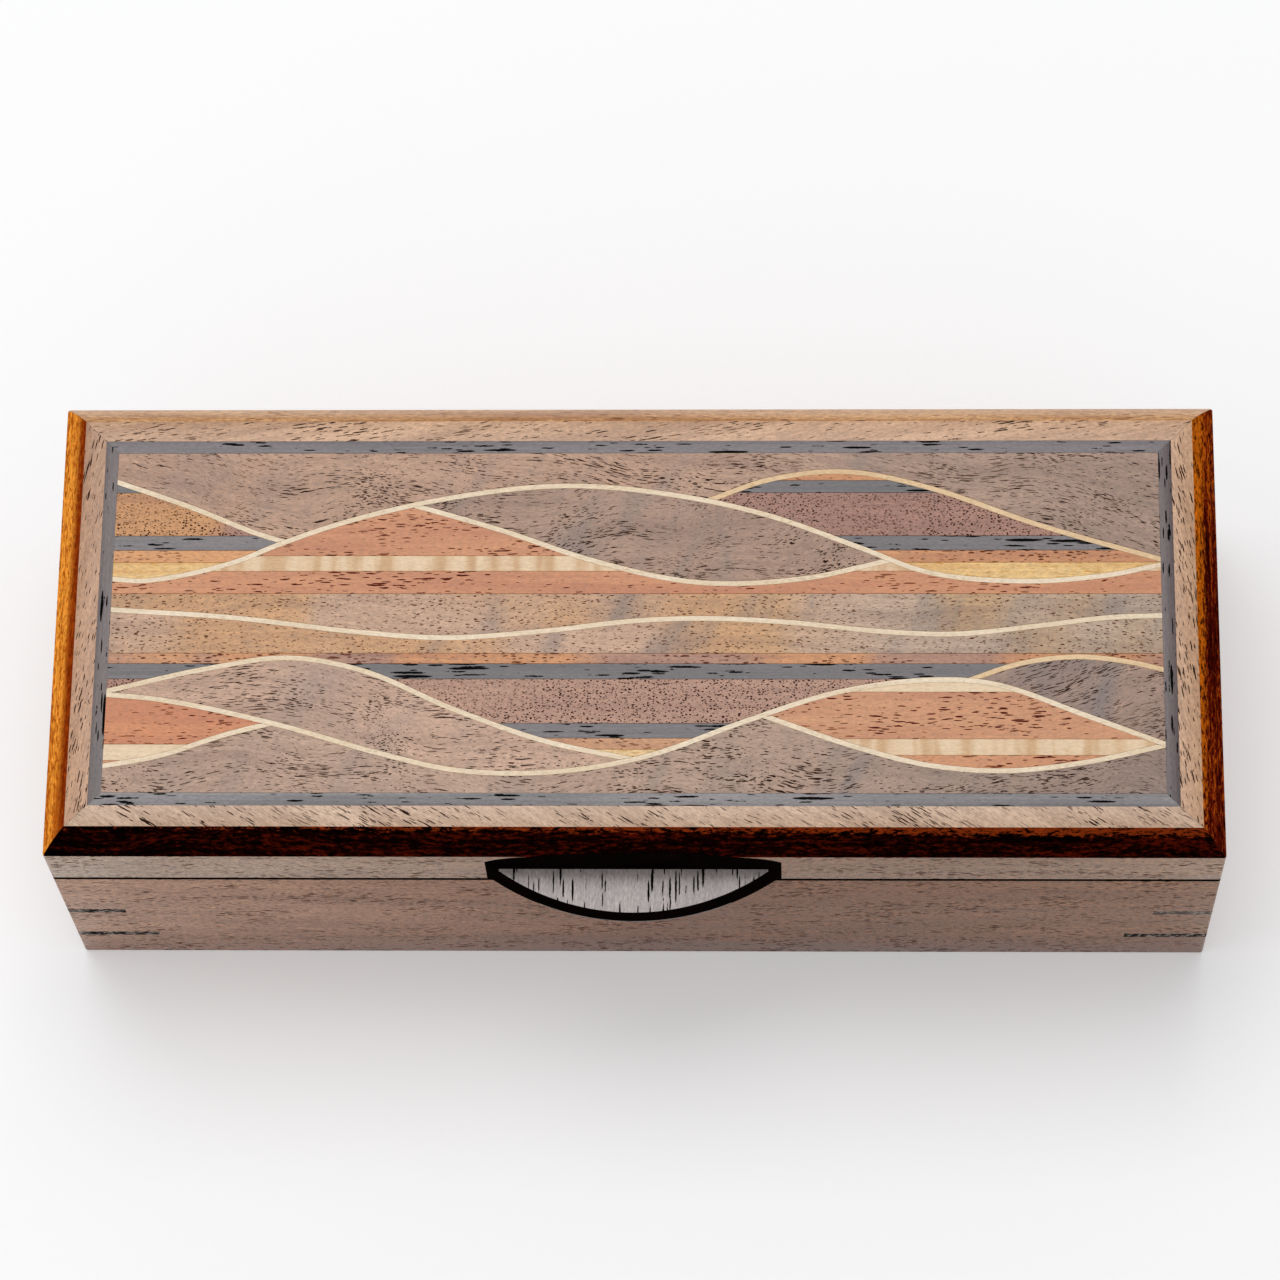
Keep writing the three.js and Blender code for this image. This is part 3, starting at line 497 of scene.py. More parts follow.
def paper():
    paint = Paint("pale_floor")
    fleck = paint.noise(paint.grain_space(), 0.8, 4.0, 0.6)
    colour = paint.mix(fleck, (0.80, 0.80, 0.80), (0.83, 0.83, 0.83))
    return paint.finished(colour, 0.9, fleck, 0.05, 0.2, Specular_IOR_Level=0.1,
                          Emission_Color=(1, 1, 1, 1), Emission_Strength=FLOOR_GLOW)


# ---------------- mesh helpers


def mesh_object(name, verts, faces, materials, sharp=30):
    """A mesh object from points and faces, its faces turned outwards and shaded smooth between edges."""
    mesh = bpy.data.meshes.new(name)
    mesh.from_pydata([tuple(v) for v in verts], [], faces)
    outward(mesh)
    for material in materials if isinstance(materials, (list, tuple)) else [materials]:
        mesh.materials.append(material)
    shade(mesh, sharp)
    made = bpy.data.objects.new(name, mesh)
    bpy.context.scene.collection.objects.link(made)
    return made


def outward(mesh, merge=0.0):
    """Turns a mesh's faces outwards, after joining the points that lie closer than `merge`."""
    built = bmesh.new()
    built.from_mesh(mesh)
    if merge:
        bmesh.ops.remove_doubles(built, verts=built.verts, dist=merge)
        bmesh.ops.dissolve_degenerate(built, edges=built.edges, dist=merge)
    bmesh.ops.recalc_face_normals(built, faces=built.faces)
    built.to_mesh(mesh)
    built.free()


def shade(mesh, sharp=30):
    mesh.shade_smooth()
    mesh.set_sharp_from_angle(angle=math.radians(sharp))


def tube_faces(rows, count):
    """The faces between rows of points, each a closed loop, and then the two end caps."""
    faces = []
    for r in range(rows - 1):
        near, far = r * count, (r + 1) * count
        for k in range(count):
            n = (k + 1) % count
            faces.append((near + k, near + n, far + n, far + k))
    last = (rows - 1) * count
    return faces + [tuple(range(count)), tuple(last + k for k in range(count))]


def belongs(piece, body, slot, *nodes):
    """Says which body a piece rides on and which CAD nodes it stands for; its finish, `slot`, is not used.
    """
    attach(piece, body)
    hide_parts(*nodes)


def fillet(points, radii, segments=4):
    """A closed outline with its corners rounded. A radius of 0 keeps a corner sharp."""
    outline = []
    count = len(points)
    for i, radius in enumerate(radii):
        corner = Vector(points[i])
        if radius <= 0:
            outline.append(corner)
            continue
        back = (Vector(points[i - 1]) - corner).normalized()
        on = (Vector(points[(i + 1) % count]) - corner).normalized()
        half = back.angle(on) / 2
        reach = radius / math.tan(half)
        centre = corner + (back + on).normalized() * (radius / math.sin(half))
        start = corner + back * reach - centre
        end = corner + on * reach - centre
        sweep = start.angle_signed(end)
        for k in range(segments + 1):
            turn = -sweep * k / segments
            c, s = math.cos(turn), math.sin(turn)
            outline.append(centre + Vector((start.x * c - start.y * s, start.x * s + start.y * c)))
    return outline


def rectangle(x0, y0, x1, y1):
    """The corners of a plan rectangle, anticlockwise."""
    return [(x0, y0), (x1, y0), (x1, y1), (x0, y1)]


def prism(name, outline, low, high, material):
    """A plan outline raised between two heights."""
    verts = [(p[0], p[1], z) for z in (low, high) for p in outline]
    return mesh_object(name, verts, tube_faces(2, len(outline)), material)


LATHE_STEPS = 44


def lathe(name, profile, material, place):
    """A piece turned about Z from (radius, height) points, lowest first, and moved by a matrix."""
    turns = [2 * math.pi * k / LATHE_STEPS for k in range(LATHE_STEPS)]
    verts = [(out * math.cos(a), out * math.sin(a), height) for out, height in profile for a in turns]
    made = mesh_object(name, verts, tube_faces(len(profile), LATHE_STEPS), material)
    made.data.transform(place)
    return made


def carved(target, tools, operation="DIFFERENCE"):
    """Cuts or joins the tool objects into the target and removes them."""
    for tool in tools:
        modifier = target.modifiers.new("carve", "BOOLEAN")
        modifier.operation = operation
        modifier.solver = "EXACT"
        modifier.object = tool
    bpy.context.view_layer.update()
    evaluated = target.evaluated_get(bpy.context.evaluated_depsgraph_get())
    mesh = bpy.data.meshes.new_from_object(evaluated)
    target.modifiers.clear()
    target.data = mesh
    for tool in tools:
        bpy.data.objects.remove(tool)
    shade(mesh)
    return target


# The four sides, each a quarter turn on from the last: name, length, distance out, turn.
SIDES = (
    ("front", LENGTH, DEPTH / 2, 0),
    ("right", DEPTH, LENGTH / 2, 90),
    ("back", LENGTH, DEPTH / 2, 180),
    ("left", DEPTH, LENGTH / 2, -90),
)


def rail(name, section, length, materials, paint_of=None, corner=CORNER_RADIUS):
    """A board drawn along X with its outer face on y = 0, mitred at both ends. `section` holds points
    (distance in, height), and `paint_of` picks a face's material from the same two. Near the ends the
    outer skin turns in on a small radius, so that the two boards of a corner share one eased edge."""
    mitre = math.radians(45)
    angles = [mitre * k / CORNER_STEPS for k in range(CORNER_STEPS + 1)]

    def row(end, angle):
        line = []
        for depth, height in section:
            radius = max(corner - depth, 0)
            drawn = radius + (corner - radius) * (1 - math.sin(angle) / math.sin(mitre))
            along = length / 2 - depth - drawn + radius * math.sin(angle)
            line.append((end * (along - MITRE_GAP), depth + radius * (1 - math.cos(angle)), height))
        return line

    rows = [row(-1, angle) for angle in reversed(angles)] + [row(1, angle) for angle in angles]
    count = len(section)
    made = mesh_object(name, sum(rows, []), tube_faces(len(rows), count), materials)
    if paint_of:
        for index, polygon in enumerate(made.data.polygons[:-2]):
            (in_a, up_a), (in_b, up_b) = section[index % count], section[(index + 1) % count]
            polygon.material_index = paint_of((in_a + in_b) / 2, (up_a + up_b) / 2)
    return made


def to_side(piece, out, turn):
    """Moves a board drawn along X to its side of the box."""
    spin = Matrix.Rotation(math.radians(turn), 4, "Z")
    piece.data.transform(Matrix.Translation(CENTRE) @ spin @ Matrix.Translation((0, -out, 0)))
    return piece


# ---------------- the box

KERF_REACH = MM
# Each corner's two keys: (level, leg along each board).
KEY_SIZES = (("upper", 13.4 * MM), ("lower", 19 * MM))
# The corners: (name, side along X, side along Y, turn).
CORNERS = (("front_right", 1, -1, 0), ("back_right", 1, 1, 90), ("back_left", -1, 1, 180),
           ("front_left", -1, -1, -90))
# The front's painted light, as (x in millimetres, tint): a painted reflection at the left and shade at the
# right.
FRONT_LIGHT_TONES = {
    "body": ((-130, (1.20, 1.35, 1.55)), (-70, (1.02, 1.05, 1.10)), (0, (0.62, 0.49, 0.38)),
             (70, (0.66, 0.56, 0.44)), (130, (0.76, 0.71, 0.60))),
    "lid": ((-130, (1.15, 1.62, 2.10)), (-70, (1.06, 1.38, 1.70)), (0, (0.76, 0.78, 0.74)),
            (130, (0.91, 1.00, 0.93)))}


def key_prism(name, corner, level, leg, material, reach=0.0):
    """A key in its corner, or the kerf for it where `reach` takes it out past the corner."""
    place_name, out_x, out_y, turn = corner
    outline = fillet([(-leg, 0), (0, 0), (0, leg)], [0, CORNER_RADIUS, 0])
    slack = 0.0
    if reach:
        outline = [(-leg - reach, -reach), (reach, -reach), (reach, leg + reach)]
        slack = GLUE
    low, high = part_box(f"corner_key_{place_name}_{level}")
    made = prism(name, outline, low.z - slack, high.z + slack, material)
    corner_point = (CENTRE.x + out_x * LENGTH / 2, CENTRE.y + out_y * DEPTH / 2, 0)
    made.data.transform(Matrix.Translation(corner_point) @ Matrix.Rotation(math.radians(turn), 4, "Z"))
    return made


# The body's faces by the seam take a near-black painted shadow of the gap under the lid.
def body_paint(depth, height):
    return 1 if height > BODY_HEIGHT - SEAM_EASED and depth < SEAM_SHADOW else 0


def add_body():
    panel_low, panel_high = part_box("bottom_panel")
    groove_low, groove_high, groove_in = panel_low.z, panel_high.z, panel_low.x - LEFT
    corners = [(0, 0), (WALL, 0), (WALL, groove_low), (groove_in, groove_low), (groove_in, groove_high),
               (WALL, groove_high), (WALL, BODY_HEIGHT), (SEAM_SHADOW, BODY_HEIGHT), (0, BODY_HEIGHT)]
    section = fillet(corners, [EASED * 1.5, EASED, 0, 0, 0, 0, EASED, 0, SEAM_EASED])
    seam = wood("body_seam_shadow", "dark_wenge", seed=6)
    wenge = wood("corner_key_wenge", "key", seed=5)
    for index, (name, length, out, turn) in enumerate(SIDES):
        along = FRONT_LIGHT_TONES["body"] if name == "front" else None
        woods = [wood(f"body_{name}_walnut", "walnut_side", turn=turn, seed=index + 1, along=along), seam]
        board = to_side(rail(f"box_{name}_board", section, length, woods, body_paint), out, turn)
        tools = [key_prism("kerf", corner, level, leg, None, KERF_REACH)
                 for corner in CORNERS if name in corner[0] for level, leg in KEY_SIZES]
        if name == "back":
            tools += mortises("body")
        carved(board, tools)
        belongs(board, "box_body", "walnut", f"body_{name}_board")
    for corner in CORNERS:
        for level, leg in KEY_SIZES:
            key = key_prism(f"key_{corner[0]}_{level}", corner, level, leg, wenge)
            belongs(key, "box_body", "wenge", f"corner_key_{corner[0]}_{level}")
    frame["nodes"]["bottom_panel"].data.materials[0] = wood("bottom_veneer", "walnut", seed=9)


# ---------------- the lining

LINING_ROLL = 2.0 * MM
LINING_STEPS_X = 60
LINING_STEPS_Y = 24
# The shares of the lining's thickness at its rim, and that its rolled edge adds to it.
LINING_RIM = 0.25
LINING_RISE = 0.72
RIPPLE = 0.04 * MM
RIPPLE_X = 71
RIPPLE_Y = 93


def add_lining():
    """A thin felt-covered pad, softly crowned, with a rolled edge."""
    low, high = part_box("lining_pad")
    steps_x, steps_y = LINING_STEPS_X, LINING_STEPS_Y
    verts, faces = [], []
    for i in range(steps_x + 1):
        for j in range(steps_y + 1):
            x = low.x + (high.x - low.x) * i / steps_x
            y = low.y + (high.y - low.y) * j / steps_y
            inside = min(x - low.x, high.x - x, y - low.y, high.y - y)
            roll = math.sqrt(max(0.0, 1 - (1 - min(inside / LINING_ROLL, 1.0)) ** 2))
            ripple = math.sin(x * RIPPLE_X) * math.sin(y * RIPPLE_Y) * RIPPLE
            share = LINING_RIM + LINING_RISE * roll
            verts.append((x, y, low.z + (high.z - low.z) * share + ripple * roll))
    top = len(verts)
    verts += [(x, y, low.z) for x, y, _ in verts[:top]]
    row = steps_y + 1
    for i in range(steps_x):
        for j in range(steps_y):
            a = i * row + j
            faces.append((a, a + row, a + row + 1, a + 1))
            faces.append((top + a, top + a + 1, top + a + row + 1, top + a + row))
    rim = [i * row for i in range(steps_x + 1)] + [steps_x * row + j for j in range(1, row)]
    rim += [i * row + steps_y for i in range(steps_x - 1, -1, -1)] + [j for j in range(steps_y - 1, 0, -1)]
    for n, a in enumerate(rim):
        b = rim[(n + 1) % len(rim)]
        faces.append((a, b, top + b, top + a))
    pad = mesh_object("felt_lining", verts, faces, felt(), sharp=80)
    belongs(pad, "box_body", "felt", "lining_pad")


# ---------------- the lid's frame

BEVEL_FOOT = math.radians(56)
BEVEL_CROWN = math.radians(16)
BEVEL_STEPS = 12


def bevel_curve():
    """The convex bevel from its foot on the side to its edge on the top, as (distance in, height)."""
    foot, crown = math.tan(BEVEL_FOOT), math.tan(BEVEL_CROWN)
    inset = (BEVEL_RISE - crown * BEVEL_WIDTH) / (foot - crown)
    control = Vector((inset, LID_SIDE + foot * inset))
    start, end = Vector((0, LID_SIDE)), Vector((BEVEL_WIDTH, LID_HEIGHT))
    curve = []
    for k in range(BEVEL_STEPS + 1):
        t = k / BEVEL_STEPS
        curve.append(start * (1 - t) ** 2 + control * 2 * t * (1 - t) + end * t * t)
    return curve


def lid_section():
    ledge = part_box("lid_core_panel")[0].z - LID_BOTTOM - SLIP
    corners = [(0, LID_SIDE), (0, 0), (SEAM_SHADOW, 0), (WALL, 0), (WALL, ledge)]
    eased = fillet(corners, [0, SEAM_EASED, 0, EASED, 0])[1:-1]
    inner = [Vector((WALL, ledge)), Vector((BORDER_OUTER, ledge)), Vector((BORDER_OUTER, LID_HEIGHT))]
    points = eased + inner + list(reversed(bevel_curve()))
    return [(p.x, LID_BOTTOM + p.y) for p in points]


MARGIN_TURNS = {"front": 30, "right": 80, "back": -10, "left": -80}
MARGIN_TONES = {"front": (0.595, 0.40, 0.27), "left": (0.53, 0.295, 0.168)}


def lid_paint(depth, height):
    """Which material a face of the lid's frame takes: its side, bevel, margin or the seam's painted shadow.
    """
    if depth < BEVEL_WIDTH and height > LID_BOTTOM + LID_SIDE:
        return 1
    if height > TOP - GLUE:
        return 2
    return 3 if height < LID_BOTTOM + SEAM_EASED and depth < SEAM_SHADOW else 0


TAB_LOW, TAB_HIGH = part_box("lift_tab")
TAB_HALF = (TAB_HIGH.x - TAB_LOW.x) / 2
TAB_REACH = FRONT - TAB_LOW.y
TAB_INSET = TAB_HIGH.y - FRONT
TAB_THICKNESS = 7 * MM
TAB_END = 11.75 * MM
TAB_CROWN = 16.3 * MM
TAB_TAPER = 0.06
# The handles of the curve from the tab's end up to its crown, as shares of its half width and crown.
ARCH_HANDLES = ((0.885, 0.957), (0.61, 1.0))
ARCH_STEPS = 14
LIP_COLUMNS = 56
LIP_STEPS = 6
WELD = 0.002 * MM
FLAT_NORMAL = 0.98
TURNED_NORMAL = 0.05


def tab_arch(grow):
    """The tab's block seen from the front, as points (x, height above the lid's lower edge)."""
    half, end, crown = TAB_HALF + grow, TAB_END + grow, TAB_CROWN + grow
    bends = [Vector((half * wide, crown * high)) for wide, high in ARCH_HANDLES]
    handles = (Vector((half, end)), *bends, Vector((0, crown)))
    arc = []
    for k in range(ARCH_STEPS + 1):
        t = k / ARCH_STEPS
        weights = ((1 - t) ** 3, 3 * t * (1 - t) ** 2, 3 * t * t * (1 - t), t ** 3)
        arc.append(sum((w * h for w, h in zip(weights, handles)), Vector((0, 0))))
    mirrored = [Vector((-p.x, p.y)) for p in reversed(arc[:-1])]
    return [Vector((-half, -grow)), Vector((half, -grow))] + arc + mirrored


def arch_prism(name, material, grow, front, back):
    """The arch run from front to back through the front rail."""
    made = prism(name, tab_arch(grow), -back, -front, material)
    lay = Matrix(((1, 0, 0, CENTRE.x), (0, 0, -1, 0), (0, 1, 0, LID_BOTTOM), (0, 0, 0, 1)))
    made.data.transform(lay)
    return made


def add_lid_frame():
    section = lid_section()
    # A near-black painted shadow for the lid's faces by the seam.
    seam = wood("lid_seam_shadow", "dark_wenge", seed=7)
    for index, (name, length, out, turn) in enumerate(SIDES):
        along = FRONT_LIGHT_TONES["lid"] if name == "front" else None
        margin = {"colour": MARGIN_TONES[name]} if name in MARGIN_TONES else {}
        woods = [wood(f"lid_{name}_side", "walnut_side", turn=turn, seed=index + 1, along=along),
                 wood(f"lid_{name}_bevel", f"bevel_{name}", turn=turn, seed=index + 11),
                 wood(f"lid_{name}_margin", "walnut_margin", turn=MARGIN_TURNS[name], seed=index + 15,
                      **margin), seam]
        board = rail(f"lid_{name}_frame", section, length, woods, lid_paint)
        to_side(board, out, turn)
        if name == "front":
            carved(board, [arch_prism("notch", None, GLUE, FRONT - 2 * MM, FRONT + TAB_INSET)])
        if name == "back":
            carved(board, mortises("lid"))
        belongs(board, "lid", "walnut", f"lid_{name}_rail")
    frame["nodes"]["lid_core_panel"].data.materials[0] = wood("lid_veneer", "walnut", seed=8)


def tab_lip(material):
    """The half-moon lip: rounded over above, more so below, and shorter on top than underneath."""
    radius = (TAB_HALF ** 2 + TAB_REACH ** 2) / (2 * TAB_REACH)
    centre_y = radius - TAB_REACH
    upper, lower, buried = 0.35 * MM, 1.5 * MM, 0.6 * MM
    bends = [math.radians(90) * k / LIP_STEPS for k in range(LIP_STEPS + 1)]
    profile = [(upper * (1 - math.sin(a)), TAB_THICKNESS - upper * (1 - math.cos(a))) for a in bends]
    profile += [(lower * (1 - math.cos(a)), lower * (1 - math.sin(a))) for a in bends]
    verts = []
    spread = math.asin(TAB_HALF / radius)
    for c in range(LIP_COLUMNS + 1):
        angle = -spread + 2 * spread * c / LIP_COLUMNS
        rim_x = radius * math.sin(angle)
        rim_y = centre_y - radius * math.cos(angle)
        row = [(buried, TAB_THICKNESS), *((min(rim_y + e, buried), h) for e, h in profile), (buried, 0)]
        for y, h in row:
            x = rim_x * (1 - TAB_TAPER * h / TAB_THICKNESS)
            verts.append((CENTRE.x + x, FRONT + y, LID_BOTTOM + h))
    lip = mesh_object("lip", verts, tube_faces(LIP_COLUMNS + 1, len(profile) + 2), material)
    outward(lip.data, merge=WELD)
    shade(lip.data)
    return lip


def add_tab():
    # One wenge piece: its flat top takes the copy with the painted reflection, its other faces the shaded
    # one.
    dark = wood("lift_tab_wenge", "dark_wenge", turn=90, seed=3)
    top = wood("lift_tab_top", "lit_tab_wenge", turn=90, seed=4)
    lower_edge = wood("lift_tab_lower_edge", "dark_wenge", turn=90, seed=3, gloss=1.0, roughness=0.3)
    block = arch_prism("lift_tab_piece", dark, 0.0, FRONT - MM, FRONT + TAB_INSET - SLIP)
    skin = rail("skin", lid_section(), 4 * TAB_HALF + 2 * WALL, None)
    to_side(skin, DEPTH / 2, 0)
    carved(block, [skin], "INTERSECT")
    carved(block, [tab_lip(dark)], "UNION")
    block.data.materials.clear()
    for material in (dark, top, lower_edge):
        block.data.materials.append(material)
    for face in block.data.polygons:
        lip = face.center.y < FRONT - EASED
        upper = face.center.z > TAB_LOW.z + TAB_THICKNESS / 2
        on_top = lip and upper and face.normal.z > FLAT_NORMAL
        turned_under = lip and -FLAT_NORMAL < face.normal.z < -TURNED_NORMAL
        face.material_index = 1 if on_top else 2 if turned_under else 0
    belongs(block, "lid", "dark_wenge", "lift_tab")


# The border's wenge on each side, painted lighter or darker for how the light falls on that side.
BORDER_LIGHT_TONES = {"front": (0.195, 0.176, 0.176), "right": (0.104, 0.073, 0.072),
                "back": (0.138, 0.116, 0.120), "left": (0.120, 0.090, 0.086)}


def add_border():
    depth = BORDER_INNER - BORDER_OUTER
    rise = TOP - INLAY_LOW
    edge = 0.04 * MM
    section = fillet([(GLUE, 0), (depth, 0), (depth, rise), (GLUE, rise)], [0, 0, edge, edge], 2)
    section = [(p.x, INLAY_LOW + p.y) for p in section]
    for index, (name, length, out, turn) in enumerate(SIDES):
        strip_wood = wood(f"border_{name}_wenge", "wenge", turn=turn, seed=index + 20,
                          colour=BORDER_LIGHT_TONES[name])
        strip = rail(f"border_strip_{name}", section, length - 2 * BORDER_OUTER, strip_wood, corner=0)
        to_side(strip, out - BORDER_OUTER, turn)
        belongs(strip, "lid", "wenge", f"border_{name}")


# ---------------- the marquetry

# Millimetres from the centre of the lid, as in the whole of this section.
EDGE = (LENGTH / 2 - BORDER_INNER) / MM
EDGE_Y = (DEPTH / 2 - BORDER_INNER) / MM
STRINGING = 1.2
STEP = 1.0
HAIR = 0.02
SOFT_EDGE = 0.05
NUDGE = 0.01
END_SLACK = 1e-6
THINNEST = 1e-4
HALVINGS = 18


class Wave:
    """A wavy joint: a smooth curve y(x) through its ends, crests, troughs and the bends between."""

    def __init__(self, *points):
        self.xs = [float(x) for x, _ in points]
        self.ys = [float(y) for _, y in points]
        self.start, self.end = self.xs[0], self.xs[-1]
        steps = [(self.ys[i + 1] - self.ys[i]) / (self.xs[i + 1] - self.xs[i])
                 for i in range(len(points) - 1)]
        inner = [(a + b) / 2 for a, b in zip(steps, steps[1:])]
        self.slopes = [steps[0], *inner, steps[-1]]

    def at(self, x):
        last = len(self.xs) - 2
        i = next((n for n in range(last) if x <= self.xs[n + 1]), last)
        x0, x1 = self.xs[i], self.xs[i + 1]
        width = x1 - x0
        t = (x - x0) / width
        rise = 3 * t ** 2 - 2 * t ** 3
        leave, arrive = t ** 3 - 2 * t ** 2 + t, t ** 3 - t ** 2
        bend = width * (leave * self.slopes[i] + arrive * self.slopes[i + 1])
        return (1 - rise) * self.ys[i] + rise * self.ys[i + 1] + bend

    def edge(self, x, side, gap=0.0):
        """The back (+1) or front (-1) edge of the wave's stringing at x, or None where it isn't."""
        if x < self.start - END_SLACK or x > self.end + END_SLACK:
            return None
        slope = (self.at(x + NUDGE) - self.at(x - NUDGE)) / (2 * NUDGE)
        return self.at(x) + side * (STRINGING / 2 + gap) * math.hypot(1, slope)


def meeting(host, x):
    """A point of a wave that springs from another, on that wave's line."""
    return x, host.at(x)


LONG_CREST = Wave((-EDGE, 10), (-110, 9.6), (-90, 14), (-80, 18.3), (-65, 23.8), (-40, 29.9), (-15, 32.5),
                  (10, 30), (30, 25.2), (50, 17.6), (65, 11.7), (87, 9.5), (105, 10.9), (EDGE, 13.4))
LEFT_FALL = Wave((-EDGE, 33.5), (-100, 27.3), (-85, 21), meeting(LONG_CREST, -78.5))
CENTRE_HOLLOW = Wave(meeting(LONG_CREST, -50), (-30, 21.7), (-10, 14.6), (10, 9.7), (22, 8.9), (40, 10.5),
                     (50, 12.8), meeting(LONG_CREST, 57))
RIGHT_CREST = Wave(meeting(LONG_CREST, 16), (30, 34), (47, 35.9), (65, 32.2), (90, 23), (EDGE, 14.7))
MIDDLE_RIPPLE = Wave((-EDGE, 2.7), (-90, 0.8), (-60, -2.8), (-42, -4), (-20, -2.4), (0, 0), (16, 0.6),
                     (35, -0.4), (55, -2.5), (71, -3.1), (90, -1.1), (105, 0.8), (EDGE, 1.3))
LONG_TROUGH = Wave((-EDGE, -17.5), (-105, -18.7), (-80, -24.2), (-55, -31.5), (-40, -35), (-25, -35.9),
                   (-10, -34.7), (5, -31.3), (25, -23.6), (45, -16.9), (67, -13.9), (80, -15), (100, -22.4),
                   (EDGE, -29))
LEFT_CREST = Wave((-EDGE, -16.7), (-95, -11.4), (-77, -8.8), (-60, -11.9), (-40, -20.8), (-20, -28.2),
                  meeting(LONG_TROUGH, 0))
LEFT_RISE = Wave((-EDGE, -34.3), (-105, -32), (-90, -26.9), meeting(LONG_TROUGH, -80))
RIGHT_HOLLOW = Wave(meeting(LONG_TROUGH, 28.5), (50, -30), (65, -33.9), (82, -35.2), (100, -33.1),
                    (EDGE, -29.2))
FAR_CREST = Wave(meeting(LONG_TROUGH, 74), (85, -10.2), (98, -8.5), (110, -9.8), (EDGE, -11.5))

CENTRE_START = -75
CENTRE_END = 99


def behind(wave):
    return lambda x: wave.edge(x, 1, HAIR)


def before(wave):
    return lambda x: wave.edge(x, -1, HAIR)


def level(y, start=-EDGE, end=EDGE):
    return lambda x: y if start <= x <= end else None


def inlay_piece(name, material, backs, fronts, start=-EDGE, end=EDGE):
    """One piece of marquetry: between the lowest of its back limits and the highest of its front ones.
    Its top edges are barely eased, so that the joints catch a little light. None if nothing is left."""
    def span(x):
        high = min(h for h in (limit(x) for limit in backs) if h is not None)
        fronts_here = [h for h in (limit(x) for limit in fronts) if h is not None]
        return (max(fronts_here), high) if fronts_here else (high, high)

    start, end = max(start, -EDGE + HAIR), min(end, EDGE - HAIR)
    count = int((end - start) / STEP) + 1
    xs = [start + (end - start) * i / count for i in range(count + 1)]
    inside = [is_open(span, x) for x in xs]
    stations = []
    for i, x in enumerate(xs):
        if i and inside[i] != inside[i - 1]:
            stations.append(crossing(span, xs[i - 1], x) if inside[i] else crossing(span, x, xs[i - 1]))
        if inside[i]:
            stations.append(x)
    if len(stations) < 2:
        return None
    verts = []
    for x in stations:
        low, high = span(x)
        high = max(high, low + THINNEST)
        ease = min(SOFT_EDGE, (high - low) / 2.5)
        top = TOP - ease * MM
        rows = ((low, INLAY_LOW), (low, top), (low + ease, TOP), (high - ease, TOP), (high, top),
                (high, INLAY_LOW))
        verts += [(CENTRE.x + x * MM, CENTRE.y + y * MM, z) for y, z in rows]
    return mesh_object(name, verts, tube_faces(len(stations), len(rows)), material, sharp=25)


def is_open(span, x):
    low, high = span(x)
    return high - low > THINNEST


def crossing(span, outside, inside):
    """Where a piece closes between two stations, found by halving."""
    for _ in range(HALVINGS):
        middle = (outside + inside) / 2
        if is_open(span, middle):
            inside = middle
        else:
            outside = middle
    return inside


# The strips of each lamination from back to front: (name, wood, back seam). A strip ends where the
# next one begins.
STRIPED_UPPER = (("orange_top", "orange", EDGE_Y), ("wenge_top", "wenge", 33.8), ("brown", "brown", 30.8),
                 ("wenge", "wenge", 20.4), ("orange", "orange", 16.9), ("yellow", "yellow", 14.0))
STRIPED_LOWER = (("wenge_top", "wenge", -10.15), ("brown", "brown", -13.8), ("wenge", "wenge", -24.2),
                 ("orange", "orange", -27.7), ("yellow", "yellow", -30.3))
RED_UPPER = (("back", "mahogany", EDGE_Y), ("maple", "curly_maple", 15.6), ("front", "mahogany", 11.9))
RED_LEFT = (("back", "mahogany", EDGE_Y), ("maple", "maple", -29.2), ("front", "mahogany", -33.0))
RED_RIGHT = (("maple_back", "maple", EDGE_Y), ("back", "mahogany", -16.8), ("maple", "curly_maple", -27.8),
             ("front", "mahogany", -31.6))

UPPER_SEAM = 6.5
LOWER_SEAM = -7.7
STRIP_SEAM = -10.15

PURPLE_GLOW = (0.360, 0.165, 0.100)
ORANGE_GLOW = (0.500, 0.210, 0.055)
TAN_GLOW = (0.570, 0.290, 0.110)


def laminated(node, slot, strips, backs, fronts, seed, start=-EDGE, end=EDGE, **changes):
    """The strips of one laminated block, which together stand for its CAD node. `changes` holds what is
    different in a strip's wood, by the strip's name."""
    seams = [back for _, _, back in strips[1:]] + [-EDGE_Y]
    for index, ((name, kind, back), front) in enumerate(zip(strips, seams)):
        material = wood(f"{node}_{name}_wood", kind, seed=seed + index, **changes.get(name, {}))
        piece = inlay_piece(f"{node}_{name}", material, [*backs, level(back - HAIR)],
                            [*fronts, level(front + HAIR)], start, end)
        if piece:
            belongs(piece, "lid", slot, node)


def plain(node, backs, fronts, seed, slot="figured_walnut", kind="walnut_figured", turn=0.0, start=-EDGE,
          end=EDGE, **changes):
    """A piece of marquetry that is one piece of wood."""
    material = wood(f"{node}_wood", kind, turn=turn, seed=seed, **changes)
    belongs(inlay_piece(f"{node}_piece", material, backs, fronts, start, end), "lid", slot, node)


def string(node, index, wave, material, backs=(), fronts=()):
    """A maple string in its joint. A branch is cut to fit the string that it springs from."""
    piece = inlay_piece(f"{node}_{index}", material, [lambda x: wave.edge(x, 1), *backs],
                        [lambda x: wave.edge(x, -1), *fronts], wave.start, wave.end)
    belongs(piece, "lid", "maple", node)


